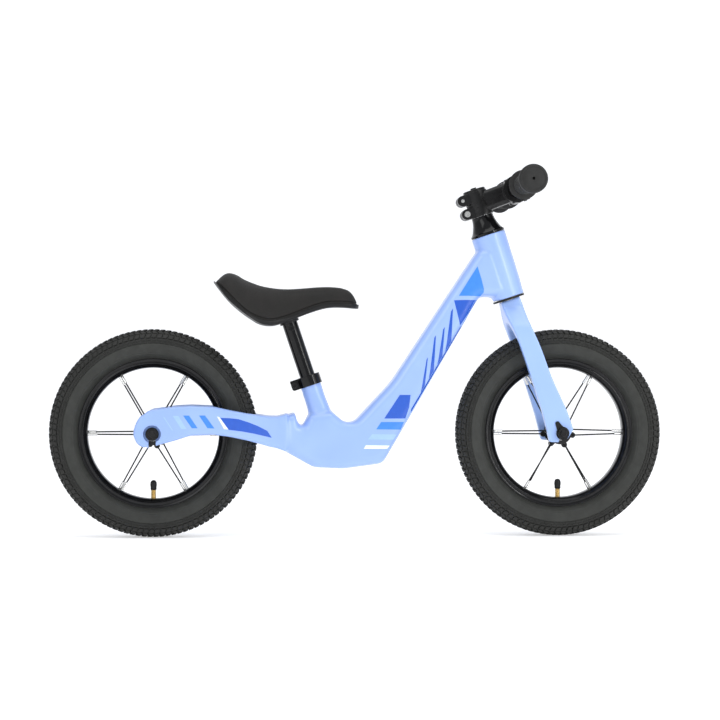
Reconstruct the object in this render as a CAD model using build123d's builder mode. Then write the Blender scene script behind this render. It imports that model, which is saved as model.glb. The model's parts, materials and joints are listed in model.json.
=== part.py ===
from build123d import *
import math
import os

# A child's balance bike: one-piece cast frame and fork, two spoked 12 inch wheels.
# +X is forward, +Y is the rider's left, +Z is up. The origin is on the ground,
# midway between the two axles. Lengths are in millimetres, angles in degrees.

# ---- Fits ----
running_fit = 0.05        # radial play of anything that turns or slides in a bore
seat_fit = 0.05           # radial play of a piece that is pushed or clamped in place
body_gap = 0.3            # air between faces of pieces that move past each other

# ---- Wheels ----
wheelbase = 587.0
tyre_diameter = 300.0
tyre_width = 50.0
tread_thickness = 5.0
sidewall_thickness = 2.6
tube_wall = 1.4
bead_seat_diameter = 203.0
rim_flange_height = 6.0
rim_well_depth = 7.5
rim_wall = 2.4
rim_inside_width = 27.0
rim_tape_width = 17.0
rim_tape_thickness = 0.7
hub_hole_circle = 18.2
hub_lobe_radius = 4.2
hub_flange_radius = 16.8
hub_flange_thickness = 3.2
hub_flange_spacing = 44.0
hub_barrel_radius = 12.5
spoke_pairs = 6
spoke_diameter = 2.0
spoke_stand_off = 2.6     # from the flange face to the spoke where it leaves its hole
spoke_spread = 10.5       # turn of each spoke's hub hole away from its pair's middle line
rim_hole_spread = 1.1     # the same at the rim
rim_hole_stagger = 4.0    # the rim holes lie this far left and right of the middle
nipple_length = 13.0
nipple_diameter = 4.0
nipple_head_diameter = 5.6
nipple_head_height = 2.0
nipple_seat = 1.0         # the head stands this far above the curved rim floor
bearing_width = 8.0
hub_bearing_diameter = 22.0
axle_diameter = 9.5
axle_end_diameter = 8.8    # turned down, so that a peg or a stand slips over it
axle_end_chamfer = 0.8
valve_diameter = 7.6
valve_showing = 11.5
valve_cap_diameter = 9.6
valve_cap_length = 14.5

# ---- Axle fastenings ----
nut_flats = 15.0
nut_height = 7.0
washer_diameter = 19.0
washer_thickness = 1.6
retention_tab_radius = 3.0
retention_peg_radius = 2.2
retention_peg_length = 4.0
spacer_diameter = 15.0
axle_stub = 4.0

# ---- Steering ----
head_angle = 18.0         # lean of the steering axis back from upright
fork_rake = 7.9
crown_rise = 58.8         # tyre's top to the head tube's lower end, along the steering axis
fork_inner_gap = 74.0
fork_leg_thickness = 13.0
fork_arch_clearance = 9.0
neck_width = 30.0
head_tube_length = 96.0
head_tube_diameter = 50.0
head_tube_foot_diameter = 47.0
steerer_diameter = 25.4
steerer_wall = 2.2
steerer_insertion = 26.0
head_bearing_diameter = 38.0
head_bearing_height = 8.0
head_seal_height = 2.9
top_cover_height = 27.5
top_cover_neck_diameter = 31.5

# ---- Stem and handlebar ----
stem_clamp_height = 36.5
stem_clamp_radius = 17.6
stem_reach = 58.1
stem_rise = 3.0
stem_bolt_setback = 21.7
stem_bolt_spacing = 20.4
stem_ear_radius = 7.8
stem_ear_width = 30.0
stem_split = 3.0
stem_cap_thickness = 3.6
stem_beam_height = 30.0
stem_beam_width = 30.0
bar_clamp_radius = 20.0
bar_clamp_width = 42.0
bar_clamp_diameter = 25.4
faceplate_head_depth = 9.0
bar_diameter = 22.2
bar_wall = 1.8
bar_width = 390.0
bar_bulge_length = 70.0
bar_taper = 4.0
grip_length = 105.0
grip_diameter = 29.0
grip_flange_diameter = 42.0
grip_end_diameter = 40.0
grip_end_wall = 5.0
grip_flange_thickness = 4.0
grip_end_thickness = 11.0
small_bolt_diameter = 5.0
small_head_diameter = 8.6
small_head_height = 4.6
small_socket_radius = 2.3
small_socket_depth = 2.6

# ---- Frame ----
body_width = 50.0
body_rounding = 12.0
body_wall = 4.5
rear_inner_gap = 80.0
rear_arm_thickness = 16.0
arm_rounding = 5.0
tyre_side_clearance = 8.0
bridge_clearance = 15.5   # tyre to the bridge between the arms
seat_foot_setback = 84.3  # from the bridge to the seat tube axis, at axle height
dropout_recess_depth = 6.0
dropout_recess_radius = 12.2
slot_clearance = 0.5

# ---- Seat ----
seat_angle = 18.6
seat_tube_diameter = 30.0
seat_tube_top = 86.2      # along the seat tube axis, from axle height
seat_tube_swell = 60.0    # below this height the tube widens towards its foot
seat_post_diameter = 22.2
seat_post_wall = 2.0
seat_post_length = 170.0
seat_post_top = 167.4
seat_bore_bottom = -44.0
collar_height = 14.0
collar_diameter = 35.0
collar_ear_reach = 27.0
collar_bolt_setback = 22.4
collar_ear_width = 15.0
collar_split = 3.0
saddle_width = 132.0
saddle_nose_width = 46.0
saddle_base_inset = 3.0
spigot_length = 32.0
spigot_collar_height = 6.8
saddle_screw_drop = 8.0

# ---- Places worked out from the sizes above ----
tyre_radius = tyre_diameter / 2
seat_radius = bead_seat_diameter / 2
rear_x = -wheelbase / 2
front_x = wheelbase / 2
axle_radius = axle_diameter / 2
rear_half_gap = rear_inner_gap / 2
fork_half_gap = fork_inner_gap / 2
steerer_radius = steerer_diameter / 2

head_lean = math.radians(head_angle)
head_up = Vector(-math.sin(head_lean), 0, math.cos(head_lean))
head_forward = Vector(math.cos(head_lean), 0, math.sin(head_lean))
front_axle_point = Vector(front_x, 0, tyre_radius)
fork_length = tyre_radius + crown_rise
head_foot = front_axle_point + head_up * fork_length - head_forward * fork_rake

seat_lean = math.radians(seat_angle)
seat_up = Vector(-math.sin(seat_lean), 0, math.cos(seat_lean))
seat_forward = Vector(math.cos(seat_lean), 0, math.sin(seat_lean))
bridge_x = rear_x + tyre_radius + bridge_clearance
seat_foot = Vector(bridge_x + seat_foot_setback, 0, tyre_radius)
post_top = seat_foot + seat_up * seat_post_top

head_plane = Plane(origin=head_foot, x_dir=head_forward, z_dir=head_up)
head_section = Plane(origin=head_foot, x_dir=head_forward, z_dir=(0, -1, 0))
head_axis = Axis(head_foot, head_up)
seat_plane = Plane(origin=seat_foot, x_dir=seat_forward, z_dir=seat_up)

stem_foot = head_tube_length + 1.0 + top_cover_height + 0.5
stem_middle = stem_foot + stem_clamp_height / 2
bar_centre = head_foot + head_up * (stem_middle + stem_rise) + head_forward * stem_reach


def keep(builder, name):
    """Names a finished piece and writes it as its own STEP file."""
    builder.part.label = name
    export_step(builder.part, f"parts/{name}.step")


def across(x, z, y, side):
    """A plane square to the bike's width at (x, y, z) that faces outwards on one side."""
    return Plane(origin=(x, y * side, z), x_dir=(1, 0, 0), z_dir=(0, side, 0))


def beside(anchor, forward, up):
    """A side-view point, forward and up from an anchor point."""
    return (anchor.X + forward, anchor.Z + up)


def on_head(forward, up):
    """A side-view point given along and square to the steering axis."""
    place = head_foot + head_up * up + head_forward * forward
    return (place.X, place.Z)


def there_and_back(half):
    """A section's points from its +Y end, over its middle and on to its -Y end."""
    return half + [(radius, -width) for radius, width in reversed(half[:-1])]


# ======================= Wheels =======================

def wheel_planes(x):
    """The radial section plane of a wheel, and its axis."""
    section = Plane(origin=(x, 0, tyre_radius), x_dir=(1, 0, 0), z_dir=(0, 0, 1))
    return section, Axis((x, 0, tyre_radius), (0, 1, 0))


def make_tyre(end, x):
    section, axis = wheel_planes(x)
    height = tyre_radius - seat_radius
    half = tyre_width / 2
    bead = rim_inside_width / 2 - body_gap
    toe = bead - 3.8
    wall = sidewall_thickness
    outside = there_and_back([
        (seat_radius + rim_flange_height + 0.8, bead),
        (seat_radius + height * 0.24, bead + (half - bead) * 0.52),
        (seat_radius + height * 0.54, half),
        (seat_radius + height * 0.83, half * 0.84),
        (tyre_radius - height * 0.03, half * 0.4),
        (tyre_radius, 0),
    ])
    inside = there_and_back([
        (seat_radius + rim_flange_height + 0.8, toe),
        (seat_radius + height * 0.27, toe + (half - bead) * 0.52),
        (seat_radius + height * 0.54, half - wall),
        (seat_radius + height * 0.78, half * 0.84 - wall),
        (tyre_radius - tread_thickness - 1.6, half * 0.4),
        (tyre_radius - tread_thickness, 0),
    ])
    with BuildPart() as tyre:
        with BuildSketch(section):
            with BuildLine():
                outer = Spline(*outside)
                inner = Spline(*inside)
                foot = seat_radius + 0.2
                Polyline(outer @ 0, (foot, bead), (foot, toe), inner @ 0)
                Polyline(outer @ 1, (foot, -bead), (foot, -toe), inner @ 1)
            make_face()
        revolve(axis=axis)
    keep(tyre, f"{end}_tyre")


def make_inner_tube(end, x):
    section, axis = wheel_planes(x)
    low = seat_radius + rim_flange_height + 1.0
    high = tyre_radius - tread_thickness - 0.6
    middle = (low + high) / 2
    tall = (high - low) / 2
    wide = tyre_width / 2 - sidewall_thickness - 1.4
    with BuildPart() as inner_tube:
        with BuildSketch(section):
            with Locations((middle, 0)):
                Ellipse(tall, wide)
                Ellipse(tall - tube_wall, wide - tube_wall, mode=Mode.SUBTRACT)
        revolve(axis=axis)
    keep(inner_tube, f"{end}_inner_tube")


def make_rim(end, x):
    section, axis = wheel_planes(x)
    half = rim_inside_width / 2
    flange = seat_radius + rim_flange_height
    floor = seat_radius - rim_well_depth + rim_wall
    well = rim_tape_width / 2 + 0.6
    outer_half = half + 1.8
    half_outline = [
        (flange, half),
        (seat_radius, half),
        (seat_radius - 0.6, well + 1.5),
        (floor, well),
        (floor, 0),
    ]
    half_underside = [
        (flange, outer_half),
        (seat_radius - 1.5, outer_half),
        (seat_radius - rim_well_depth, half - 4.0),
        (seat_radius - rim_well_depth, 0),
    ]
    with BuildPart() as rim:
        with BuildSketch(section):
            with BuildLine():
                bed = Polyline(*there_and_back(half_outline))
                back = Polyline(*there_and_back(half_underside))
                Line(bed @ 0, back @ 0)
                Line(bed @ 1, back @ 1)
            make_face()
        revolve(axis=axis)
        for start, direction in spoke_ends(x):
            with BuildSketch(Plane(origin=start, z_dir=direction)):
                Circle(nipple_diameter / 2 + seat_fit)
            extrude(amount=20, both=True, mode=Mode.SUBTRACT)
        with BuildSketch(Plane.XY.offset(tyre_radius - seat_radius - 4)):
            with Locations((x, 0)):
                Circle(valve_diameter / 2 + 0.2)
        extrude(amount=rim_well_depth + 8, mode=Mode.SUBTRACT)
    keep(rim, f"{end}_rim")


def make_rim_tape(end, x):
    section, axis = wheel_planes(x)
    floor = seat_radius - rim_well_depth + rim_wall + nipple_seat + nipple_head_height + 0.9
    with BuildPart() as tape:
        with BuildSketch(section):
            with Locations((floor + rim_tape_thickness / 2, 0)):
                Rectangle(rim_tape_thickness, rim_tape_width)
        revolve(axis=axis)
        with BuildSketch(Plane.XY.offset(tyre_radius - seat_radius - 4)):
            with Locations((x, 0)):
                Circle(valve_diameter / 2 + 0.2)
        extrude(amount=rim_well_depth + 8, mode=Mode.SUBTRACT)
    keep(tape, f"{end}_rim_tape")


def spoke_lines(x):
    """Each spoke's hub end and rim end: two spokes to a pair, one from each flange."""
    lines = []
    for pair in range(spoke_pairs):
        middle = 360 / spoke_pairs * pair
        for side in (-1, 1):
            hub_turn = math.radians(middle + side * spoke_spread)
            rim_turn = math.radians(middle + side * rim_hole_spread)
            flange_y = side * (hub_flange_spacing / 2 + hub_flange_thickness + spoke_stand_off)
            rim_radius = seat_radius - rim_well_depth
            hub = Vector(x + hub_hole_circle * math.cos(hub_turn), flange_y,
                         tyre_radius + hub_hole_circle * math.sin(hub_turn))
            rim = Vector(x + rim_radius * math.cos(rim_turn), side * rim_hole_stagger,
                         tyre_radius + rim_radius * math.sin(rim_turn))
            lines.append((hub, rim, side))
    return lines


def spoke_ends(x):
    """Where each nipple passes the rim, and the way outwards along its spoke."""
    return [(rim, (rim - hub).normalized()) for hub, rim, side in spoke_lines(x)]


def make_spokes(end, x):
    radius = spoke_diameter / 2
    elbow = spoke_stand_off + hub_flange_thickness + 1.0
    with BuildPart() as spokes:
        for hub, rim, side in spoke_lines(x):
            with BuildSketch(Plane(origin=hub, z_dir=rim - hub)):
                Circle(radius)
            extrude(amount=(rim - hub).length)
            with BuildSketch(Plane(origin=hub, z_dir=(0, -side, 0))):
                Circle(radius)
            extrude(amount=elbow)
            with Locations(hub):
                Sphere(radius)
    keep(spokes, f"{end}_spokes")


def make_nipples(end, x):
    with BuildPart() as nipples:
        for start, outwards in spoke_ends(x):
            foot = start - outwards * nipple_length
            with BuildSketch(Plane(origin=foot, z_dir=outwards)):
                Circle(nipple_diameter / 2)
            extrude(amount=nipple_length + rim_wall + nipple_seat)
            head = start + outwards * (rim_wall + nipple_seat)
            with BuildSketch(Plane(origin=head, z_dir=outwards)):
                Circle(nipple_head_diameter / 2)
            extrude(amount=nipple_head_height)
            with BuildSketch(Plane(origin=foot, z_dir=outwards)):
                Circle(spoke_diameter / 2 + seat_fit)
            extrude(amount=nipple_length + 0.1, mode=Mode.SUBTRACT)
    keep(nipples, f"{end}_nipples")


def make_hub(end, x):
    bearing_face = hub_flange_spacing / 2 + hub_flange_thickness
    with BuildPart() as hub:
        with BuildSketch(across(x, tyre_radius, 0, 1)):
            Circle(hub_barrel_radius)
        extrude(amount=bearing_face, both=True)
        for side in (-1, 1):
            with BuildSketch(across(x, tyre_radius, bearing_face, side)):
                Circle(hub_flange_radius)
                with PolarLocations(hub_hole_circle, spoke_pairs, start_angle=-spoke_spread):
                    Circle(hub_lobe_radius)
            extrude(amount=-hub_flange_thickness)
            with BuildSketch(across(x, tyre_radius, bearing_face, side)):
                with PolarLocations(hub_hole_circle, spoke_pairs, start_angle=-spoke_spread):
                    Circle(spoke_diameter / 2 + seat_fit)
            extrude(amount=-hub_flange_thickness, mode=Mode.SUBTRACT)
            with BuildSketch(across(x, tyre_radius, bearing_face, side)):
                Circle(hub_bearing_diameter / 2)
            extrude(amount=-bearing_width, mode=Mode.SUBTRACT)
        with BuildSketch(across(x, tyre_radius, 0, 1)):
            Circle(axle_radius + 1.5)
        extrude(amount=bearing_face, both=True, mode=Mode.SUBTRACT)
    keep(hub, f"{end}_hub_shell")


def make_hub_bearings(end, x):
    face = hub_flange_spacing / 2 + hub_flange_thickness
    outer = hub_bearing_diameter / 2
    with BuildPart() as bearings:
        for side in (-1, 1):
            with BuildSketch(across(x, tyre_radius, face, side)):
                Circle(outer)
                Circle(axle_radius + running_fit, mode=Mode.SUBTRACT)
            extrude(amount=-bearing_width)
            with BuildSketch(across(x, tyre_radius, face, side)):
                Circle(outer - 1.6)
                Circle(axle_radius + 1.9, mode=Mode.SUBTRACT)
            extrude(amount=-0.6, mode=Mode.SUBTRACT)
    keep(bearings, f"{end}_hub_bearings")


def make_valve(end, x):
    rim_face = tyre_radius - seat_radius + rim_well_depth
    tube_face = tyre_radius - seat_radius - rim_flange_height - 0.3
    with BuildPart() as stem:
        with BuildSketch(Plane.XY.offset(tube_face)):
            with Locations((x, 0)):
                Circle(valve_diameter / 2)
        extrude(amount=rim_face - tube_face + valve_showing)
        with BuildSketch(Plane.XY.offset(rim_face + valve_showing)):
            with Locations((x, 0)):
                Circle(valve_diameter / 2 - 1.0)
        extrude(amount=valve_cap_length - 5)
    keep(stem, f"{end}_valve_stem")
    with BuildPart() as cap:
        with BuildSketch(Plane.XY.offset(rim_face + valve_showing + 0.2)):
            with Locations((x, 0)):
                Circle(valve_cap_diameter / 2)
        extrude(amount=valve_cap_length)
        fillet(cap.edges().sort_by(Axis.Z)[-1], valve_cap_diameter / 2 * 0.8)
        with BuildSketch(Plane.XY.offset(rim_face + valve_showing + 0.2)):
            with Locations((x, 0)):
                Circle(valve_diameter / 2 - 1.0 + seat_fit)
        extrude(amount=valve_cap_length - 5, mode=Mode.SUBTRACT)
    keep(cap, f"{end}_valve_cap")


# ======================= Axles =======================

def hexagon_nut(plane, height):
    """A nut with its axle hole, standing on the plane."""
    with BuildPart() as nut:
        with BuildSketch(plane):
            RegularPolygon(nut_flats / 2, 6, major_radius=False)
            Circle(axle_radius + seat_fit, mode=Mode.SUBTRACT)
        extrude(amount=height)
    return nut.part


def make_axle_set(end, x, half_gap, seat_face):
    """Axle, spacers, washers and nuts; seat_face is where the washer sits on each side."""
    washer_face = seat_face + washer_thickness
    axle_end = washer_face + nut_height + axle_stub
    bearing_face = hub_flange_spacing / 2 + hub_flange_thickness
    with BuildPart() as axle:
        with BuildSketch(across(x, tyre_radius, 0, 1)):
            Circle(axle_radius)
        extrude(amount=axle_end - axle_stub, both=True)
        with BuildSketch(across(x, tyre_radius, 0, 1)):
            Circle(axle_end_diameter / 2)
        extrude(amount=axle_end, both=True)
        tips = axle.edges().group_by(Axis.Y)[0] + axle.edges().group_by(Axis.Y)[-1]
        chamfer(tips, axle_end_chamfer)
    keep(axle, f"{end}_axle")
    with BuildPart() as spacers:
        for side in (-1, 1):
            with BuildSketch(across(x, tyre_radius, bearing_face + body_gap, side)):
                Circle(spacer_diameter / 2)
                Circle(axle_radius + seat_fit, mode=Mode.SUBTRACT)
            extrude(amount=half_gap - bearing_face - body_gap)
    keep(spacers, f"{end}_axle_spacers")
    with BuildPart() as nuts:
        for side in (-1, 1):
            add(hexagon_nut(across(x, tyre_radius, washer_face, side), nut_height))
    keep(nuts, f"{end}_axle_nuts")
    return washer_face


def make_rear_washers():
    seat_face = rear_half_gap + rear_arm_thickness - dropout_recess_depth
    with BuildPart() as washers:
        for side in (-1, 1):
            with BuildSketch(across(rear_x, tyre_radius, seat_face, side)):
                Circle(washer_diameter / 2)
                Circle(axle_radius + seat_fit, mode=Mode.SUBTRACT)
            extrude(amount=washer_thickness)
    keep(washers, "rear_axle_washers")
    return seat_face


def make_retention_washers():
    """Front washers with a tab that hooks into a hole in each fork leg."""
    seat_face = fork_half_gap + fork_leg_thickness
    tab_x, tab_z = tab_place()
    with BuildPart() as washers:
        for side in (-1, 1):
            plane = Plane(origin=(front_x, seat_face * side, tyre_radius), x_dir=(1, 0, 0),
                          z_dir=(0, side, 0))
            tab = Vector(tab_x - front_x, -(tab_z - tyre_radius) * side)
            with BuildSketch(plane):
                with BuildLine():
                    normal = Vector(-tab.Y, tab.X).normalized()
                    wide = normal * (washer_diameter / 2 - 2.0)
                    narrow = normal * retention_tab_radius
                    Polyline(wide, tab + narrow, tab - narrow, wide * -1, close=True)
                make_face()
                Circle(washer_diameter / 2)
                with Locations(tab):
                    Circle(retention_tab_radius)
                Circle(axle_radius + seat_fit, mode=Mode.SUBTRACT)
            extrude(amount=washer_thickness)
            with BuildSketch(plane):
                with Locations(tab):
                    Circle(retention_peg_radius)
            extrude(amount=-retention_peg_length)
    keep(washers, "front_retention_washers")
    return seat_face


def tab_place():
    """Where the retention washer's tab enters the fork leg, above and behind the axle."""
    return front_x - 7.6, tyre_radius + 14.2


# ======================= Frame =======================

def body_outline():
    """Side outline of the down tube, belly and seat tube foot, as corners with radii."""
    return [
        (*on_head(0, 78), 0),
        (*on_head(-head_tube_diameter / 2 + 1.5, 78), 0),
        (*beside(head_foot, -57.5, 51), 30),
        (*beside(seat_foot, 94, 74), 130),
        (*beside(seat_foot, 33, 8.5), 42),
        (*beside(seat_foot, 6, 32), 0),
        (*beside(seat_foot, -26, 28), 0),
        (*beside(seat_foot, -36, 8), 6),
        (*beside(seat_foot, -60, 8), 0),
        (*beside(seat_foot, -60, -27), 0),
        (*beside(seat_foot, -19.3, -49.5), 22),
        (*beside(seat_foot, 23.7, -51.6), 60),
        (*beside(seat_foot, 80.7, -44), 17),
        (*beside(head_foot, -44, 1), 9),
        (*on_head(-20, 7), 0),
        (*on_head(0, 7), 0),
    ]


def arm_stations():
    """Cross-sections of the +Y arm: x, middle y, middle z, width and height, tail to bridge."""
    level = tyre_radius
    flat = rear_half_gap + rear_arm_thickness / 2
    thick = rear_arm_thickness
    inner = tyre_width / 2 + tyre_side_clearance
    reach = bridge_x - rear_x
    return [
        (rear_x - 4, flat, level + 7.5, thick, 53),
        (rear_x + reach * 0.19, flat, level + 14.8, thick, 48.7),
        (rear_x + reach * 0.33, flat - 0.5, level + 19.0, thick, 42.6),
        (rear_x + reach * 0.53, inner + thick * 0.72, level + 18.9, thick, 40.0),
        (rear_x + reach * 0.67, inner + thick * 0.5, level + 14.6, thick, 38.2),
        (rear_x + reach * 0.81, inner + thick * 0.22, level + 9.8, thick + 1, 38.8),
        (bridge_x - 9, inner - 6, level + 5.0, thick + 9, 41.8),
        (bridge_x, inner - 14.5, level + 3.0, 2 * (inner - 14.5), 43.6),
        (bridge_x + 13, inner - 16, level + 1.2, 2 * (inner - 16), 46.4),
        (seat_foot.X - 57, inner - 19, level + 0.4, 2 * (inner - 19) + 10, 56),
    ]


def rounded_face(corners, plane=Plane.XZ):
    """A closed outline whose corners are rounded by arcs tangent to both edges."""
    points = [Vector(x, z) for x, z, radius in corners]
    with BuildSketch(plane) as side:
        with BuildLine():
            starts, ends = [], []
            for index, (x, z, radius) in enumerate(corners):
                corner = points[index]
                back = points[index - 1] - corner
                ahead = points[(index + 1) % len(points)] - corner
                start, end = corner, corner
                if radius:
                    bend = math.radians(back.get_angle(ahead)) / 2
                    reach = min(radius / math.tan(bend), 0.48 * back.length, 0.48 * ahead.length)
                    start = corner + back.normalized() * reach
                    end = corner + ahead.normalized() * reach
                    depth = reach / math.cos(bend) - reach * math.tan(bend)
                    inward = (back.normalized() + ahead.normalized()).normalized()
                    ThreePointArc(start, corner + inward * depth, end)
                starts.append(start)
                ends.append(end)
            for index, start in enumerate(starts):
                Line(ends[index - 1], start)
        make_face()
    return side.sketch


def make_main_body():
    """Down tube, belly and seat tube foot, with rounded long edges."""
    with BuildPart() as body:
        extrude(rounded_face(body_outline()), amount=body_width / 2, both=True)
        rims = body.faces().filter_by(Axis.Y).edges()
        fillet(rims, body_rounding)
    return body.part


def body_hollow():
    """The space inside the down tube and belly, one wall in from every outer face."""
    with BuildPart() as hollow:
        with BuildSketch(Plane.XZ):
            add(rounded_face(body_outline()))
            offset(amount=-body_wall, mode=Mode.REPLACE)
        extrude(amount=body_width / 2 - body_wall, both=True)
    return hollow.part


def make_arm():
    """The +Y rear arm with its rounded axle end, running forward into the bridge."""
    tail = Vector(rear_x, 0, tyre_radius)
    plate = [
        (*beside(tail, -24.9, -20.6), 19),
        (*beside(tail, -24.9, 28), 24),
        (*beside(tail, -3, 34.6), 40),
        (*beside(tail, 6, 35), 0),
        (*beside(tail, 6, -19.6), 0),
    ]
    with BuildPart() as arm:
        extrude(rounded_face(plate, Plane.XZ.offset(-rear_half_gap)), amount=-rear_arm_thickness)
        fillet(arm.faces().filter_by(Axis.Y).edges(), arm_rounding - 1)
        for x, y, z, width, height in arm_stations():
            with BuildSketch(Plane(origin=(x, y, z), x_dir=(0, 1, 0), z_dir=(1, 0, 0))):
                RectangleRounded(width, height, arm_rounding)
        loft(ruled=True)
    return arm.part


def make_seat_tube():
    """The seat tube: round at the collar, swelling into the belly at its foot."""
    with BuildPart() as tube:
        with BuildSketch(seat_plane.offset(-2)):
            RectangleRounded(seat_tube_diameter + 8, body_width - 4, 14)
        with BuildSketch(seat_plane.offset(seat_tube_swell / 2)):
            RectangleRounded(seat_tube_diameter + 2, seat_tube_diameter + 6, 14)
        with BuildSketch(seat_plane.offset(seat_tube_swell)):
            Circle(seat_tube_diameter / 2)
        loft()
        with BuildSketch(seat_plane.offset(seat_tube_swell - 2)):
            Circle(seat_tube_diameter / 2)
        extrude(amount=seat_tube_top - seat_tube_swell + 2)
        with BuildSketch(seat_plane.offset(0)):
            Circle(seat_tube_diameter / 2)
        extrude(amount=seat_bore_bottom - 3)
    return tube.part


def make_frame():
    outer_face = rear_half_gap + rear_arm_thickness
    with BuildPart() as frame:
        add(make_main_body())
        add(body_hollow(), mode=Mode.SUBTRACT)
        arm = make_arm()
        add(arm)
        add(arm.mirror(Plane.XZ))
        add(make_seat_tube())
        with BuildSketch(head_section):
            with BuildLine():
                side = Polyline(
                    (head_tube_foot_diameter / 2, 0),
                    (head_tube_foot_diameter / 2, 6),
                    (head_tube_diameter / 2 - 0.6, 24),
                    (head_tube_diameter / 2, head_tube_length - 14),
                    (head_tube_diameter / 2, head_tube_length),
                    (0, head_tube_length),
                    (0, 0),
                    close=True,
                )
            make_face()
        revolve(axis=head_axis)
        with BuildSketch(head_plane):
            Circle(head_bearing_diameter / 2 - 3)
        extrude(amount=head_tube_length, mode=Mode.SUBTRACT)
        with BuildSketch(head_plane):
            Circle(head_bearing_diameter / 2)
        extrude(amount=head_bearing_height + 1, mode=Mode.SUBTRACT)
        with BuildSketch(head_plane.offset(head_tube_length)):
            Circle(head_bearing_diameter / 2)
        extrude(amount=-head_bearing_height - 1, mode=Mode.SUBTRACT)
        with BuildSketch(seat_plane.offset(seat_bore_bottom)):
            Circle(seat_post_diameter / 2 + running_fit)
        extrude(amount=seat_tube_top - seat_bore_bottom, mode=Mode.SUBTRACT)
        with BuildSketch(seat_plane.offset(seat_tube_top)):
            with Locations((-seat_tube_diameter / 2, 0)):
                Rectangle(seat_tube_diameter / 2, collar_split)
        extrude(amount=-collar_height - 8, mode=Mode.SUBTRACT)
        for side in (-1, 1):
            with BuildSketch(across(rear_x, tyre_radius, outer_face, side)):
                Circle(dropout_recess_radius)
            extrude(amount=-dropout_recess_depth, mode=Mode.SUBTRACT)
        add(axle_slots(rear_x), mode=Mode.SUBTRACT)
    keep(frame, "frame")


def axle_slots(x):
    """The space of the slots that open downwards under an axle, through both sides."""
    slot = axle_diameter + slot_clearance
    with BuildPart() as slots:
        with BuildSketch(Plane.XZ):
            with Locations((x, tyre_radius)):
                Circle(slot / 2)
            with Locations((x, tyre_radius - 20)):
                Rectangle(slot, 40)
        extrude(amount=100, both=True)
    return slots.part


def make_head_bearings():
    for name, start in (("lower", 1.0), ("upper", head_tube_length - head_bearing_height - 1.0)):
        with BuildPart() as bearing:
            with BuildSketch(head_plane.offset(start)):
                Circle(head_bearing_diameter / 2)
                Circle(steerer_radius + running_fit, mode=Mode.SUBTRACT)
            extrude(amount=head_bearing_height)
            for face in (start, start + head_bearing_height - 0.6):
                with BuildSketch(head_plane.offset(face)):
                    Circle(head_bearing_diameter / 2 - 1.8)
                    Circle(steerer_radius + 1.8, mode=Mode.SUBTRACT)
                extrude(amount=0.6, mode=Mode.SUBTRACT)
        keep(bearing, f"{name}_head_bearing")


def make_seat_clamp():
    low = seat_tube_top - collar_height
    middle = low + collar_height / 2
    bolt_point = seat_foot + seat_up * middle - seat_forward * collar_bolt_setback
    head_face = collar_ear_width / 2
    with BuildPart() as collar:
        with BuildSketch(seat_plane.offset(low)):
            Circle(collar_diameter / 2)
            with Locations((-collar_ear_reach + 4, 0)):
                Rectangle(collar_ear_reach - 4, collar_ear_width, align=(Align.MIN, Align.CENTER))
            with Locations((-collar_ear_reach + 4, 0)):
                Rectangle(8, collar_ear_width)
            Circle(seat_tube_diameter / 2 + seat_fit, mode=Mode.SUBTRACT)
            with Locations((-collar_ear_reach / 2 - 6, 0)):
                Rectangle(collar_ear_reach, collar_split, mode=Mode.SUBTRACT)
        extrude(amount=collar_height + 0.8)
        with BuildSketch(Plane(origin=bolt_point, x_dir=(1, 0, 0), z_dir=(0, 1, 0))):
            Circle(small_bolt_diameter / 2 + seat_fit)
        extrude(amount=collar_ear_width, both=True, mode=Mode.SUBTRACT)
        ears = collar.edges().filter_by(Axis.Y).sort_by_distance(bolt_point)[0:4]
        fillet(ears, 3.0)
    keep(collar, "seat_clamp_collar")
    with BuildPart() as bolt:
        add(socket_bolt(bolt_point, head_face, -1, 2 * head_face))
    keep(bolt, "seat_clamp_bolt")


def socket_bolt(middle, head_face, side, length):
    """A socket-head bolt lying across the bike, its head outside one face."""
    seat = Plane(origin=middle + Vector(0, head_face * side, 0), x_dir=(1, 0, 0), z_dir=(0, side, 0))
    with BuildPart() as bolt:
        with BuildSketch(seat):
            Circle(small_head_diameter / 2)
        extrude(amount=small_head_height)
        with BuildSketch(seat):
            Circle(small_bolt_diameter / 2)
        extrude(amount=-length)
        with BuildSketch(seat.offset(small_head_height)):
            RegularPolygon(small_socket_radius, 6)
        extrude(amount=-small_socket_depth, mode=Mode.SUBTRACT)
    return bolt.part


# ======================= Fork and steering =======================

def fork_side_outline():
    """Back edge and front edge of the fork, each from the crown down to the leg's end."""
    axle = front_axle_point
    back = [
        on_head(-neck_width / 2 + 0.6, -4 - head_seal_height),
        on_head(-neck_width / 2, -22),
        beside(axle, -65.5, 137),
        beside(axle, -46.3, 83.5),
        beside(axle, -31.4, 38.2),
        beside(axle, -19.5, -8.5),
    ]
    front = [
        on_head(neck_width / 2 - 0.6, -4 - head_seal_height),
        on_head(neck_width / 2, -22),
        beside(axle, -47.5, 165.2),
        beside(axle, -31.4, 123.5),
        beside(axle, -13.9, 76.5),
        beside(axle, 4.5, 36.4),
        beside(axle, 15.6, 5),
    ]
    return back, front


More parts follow.
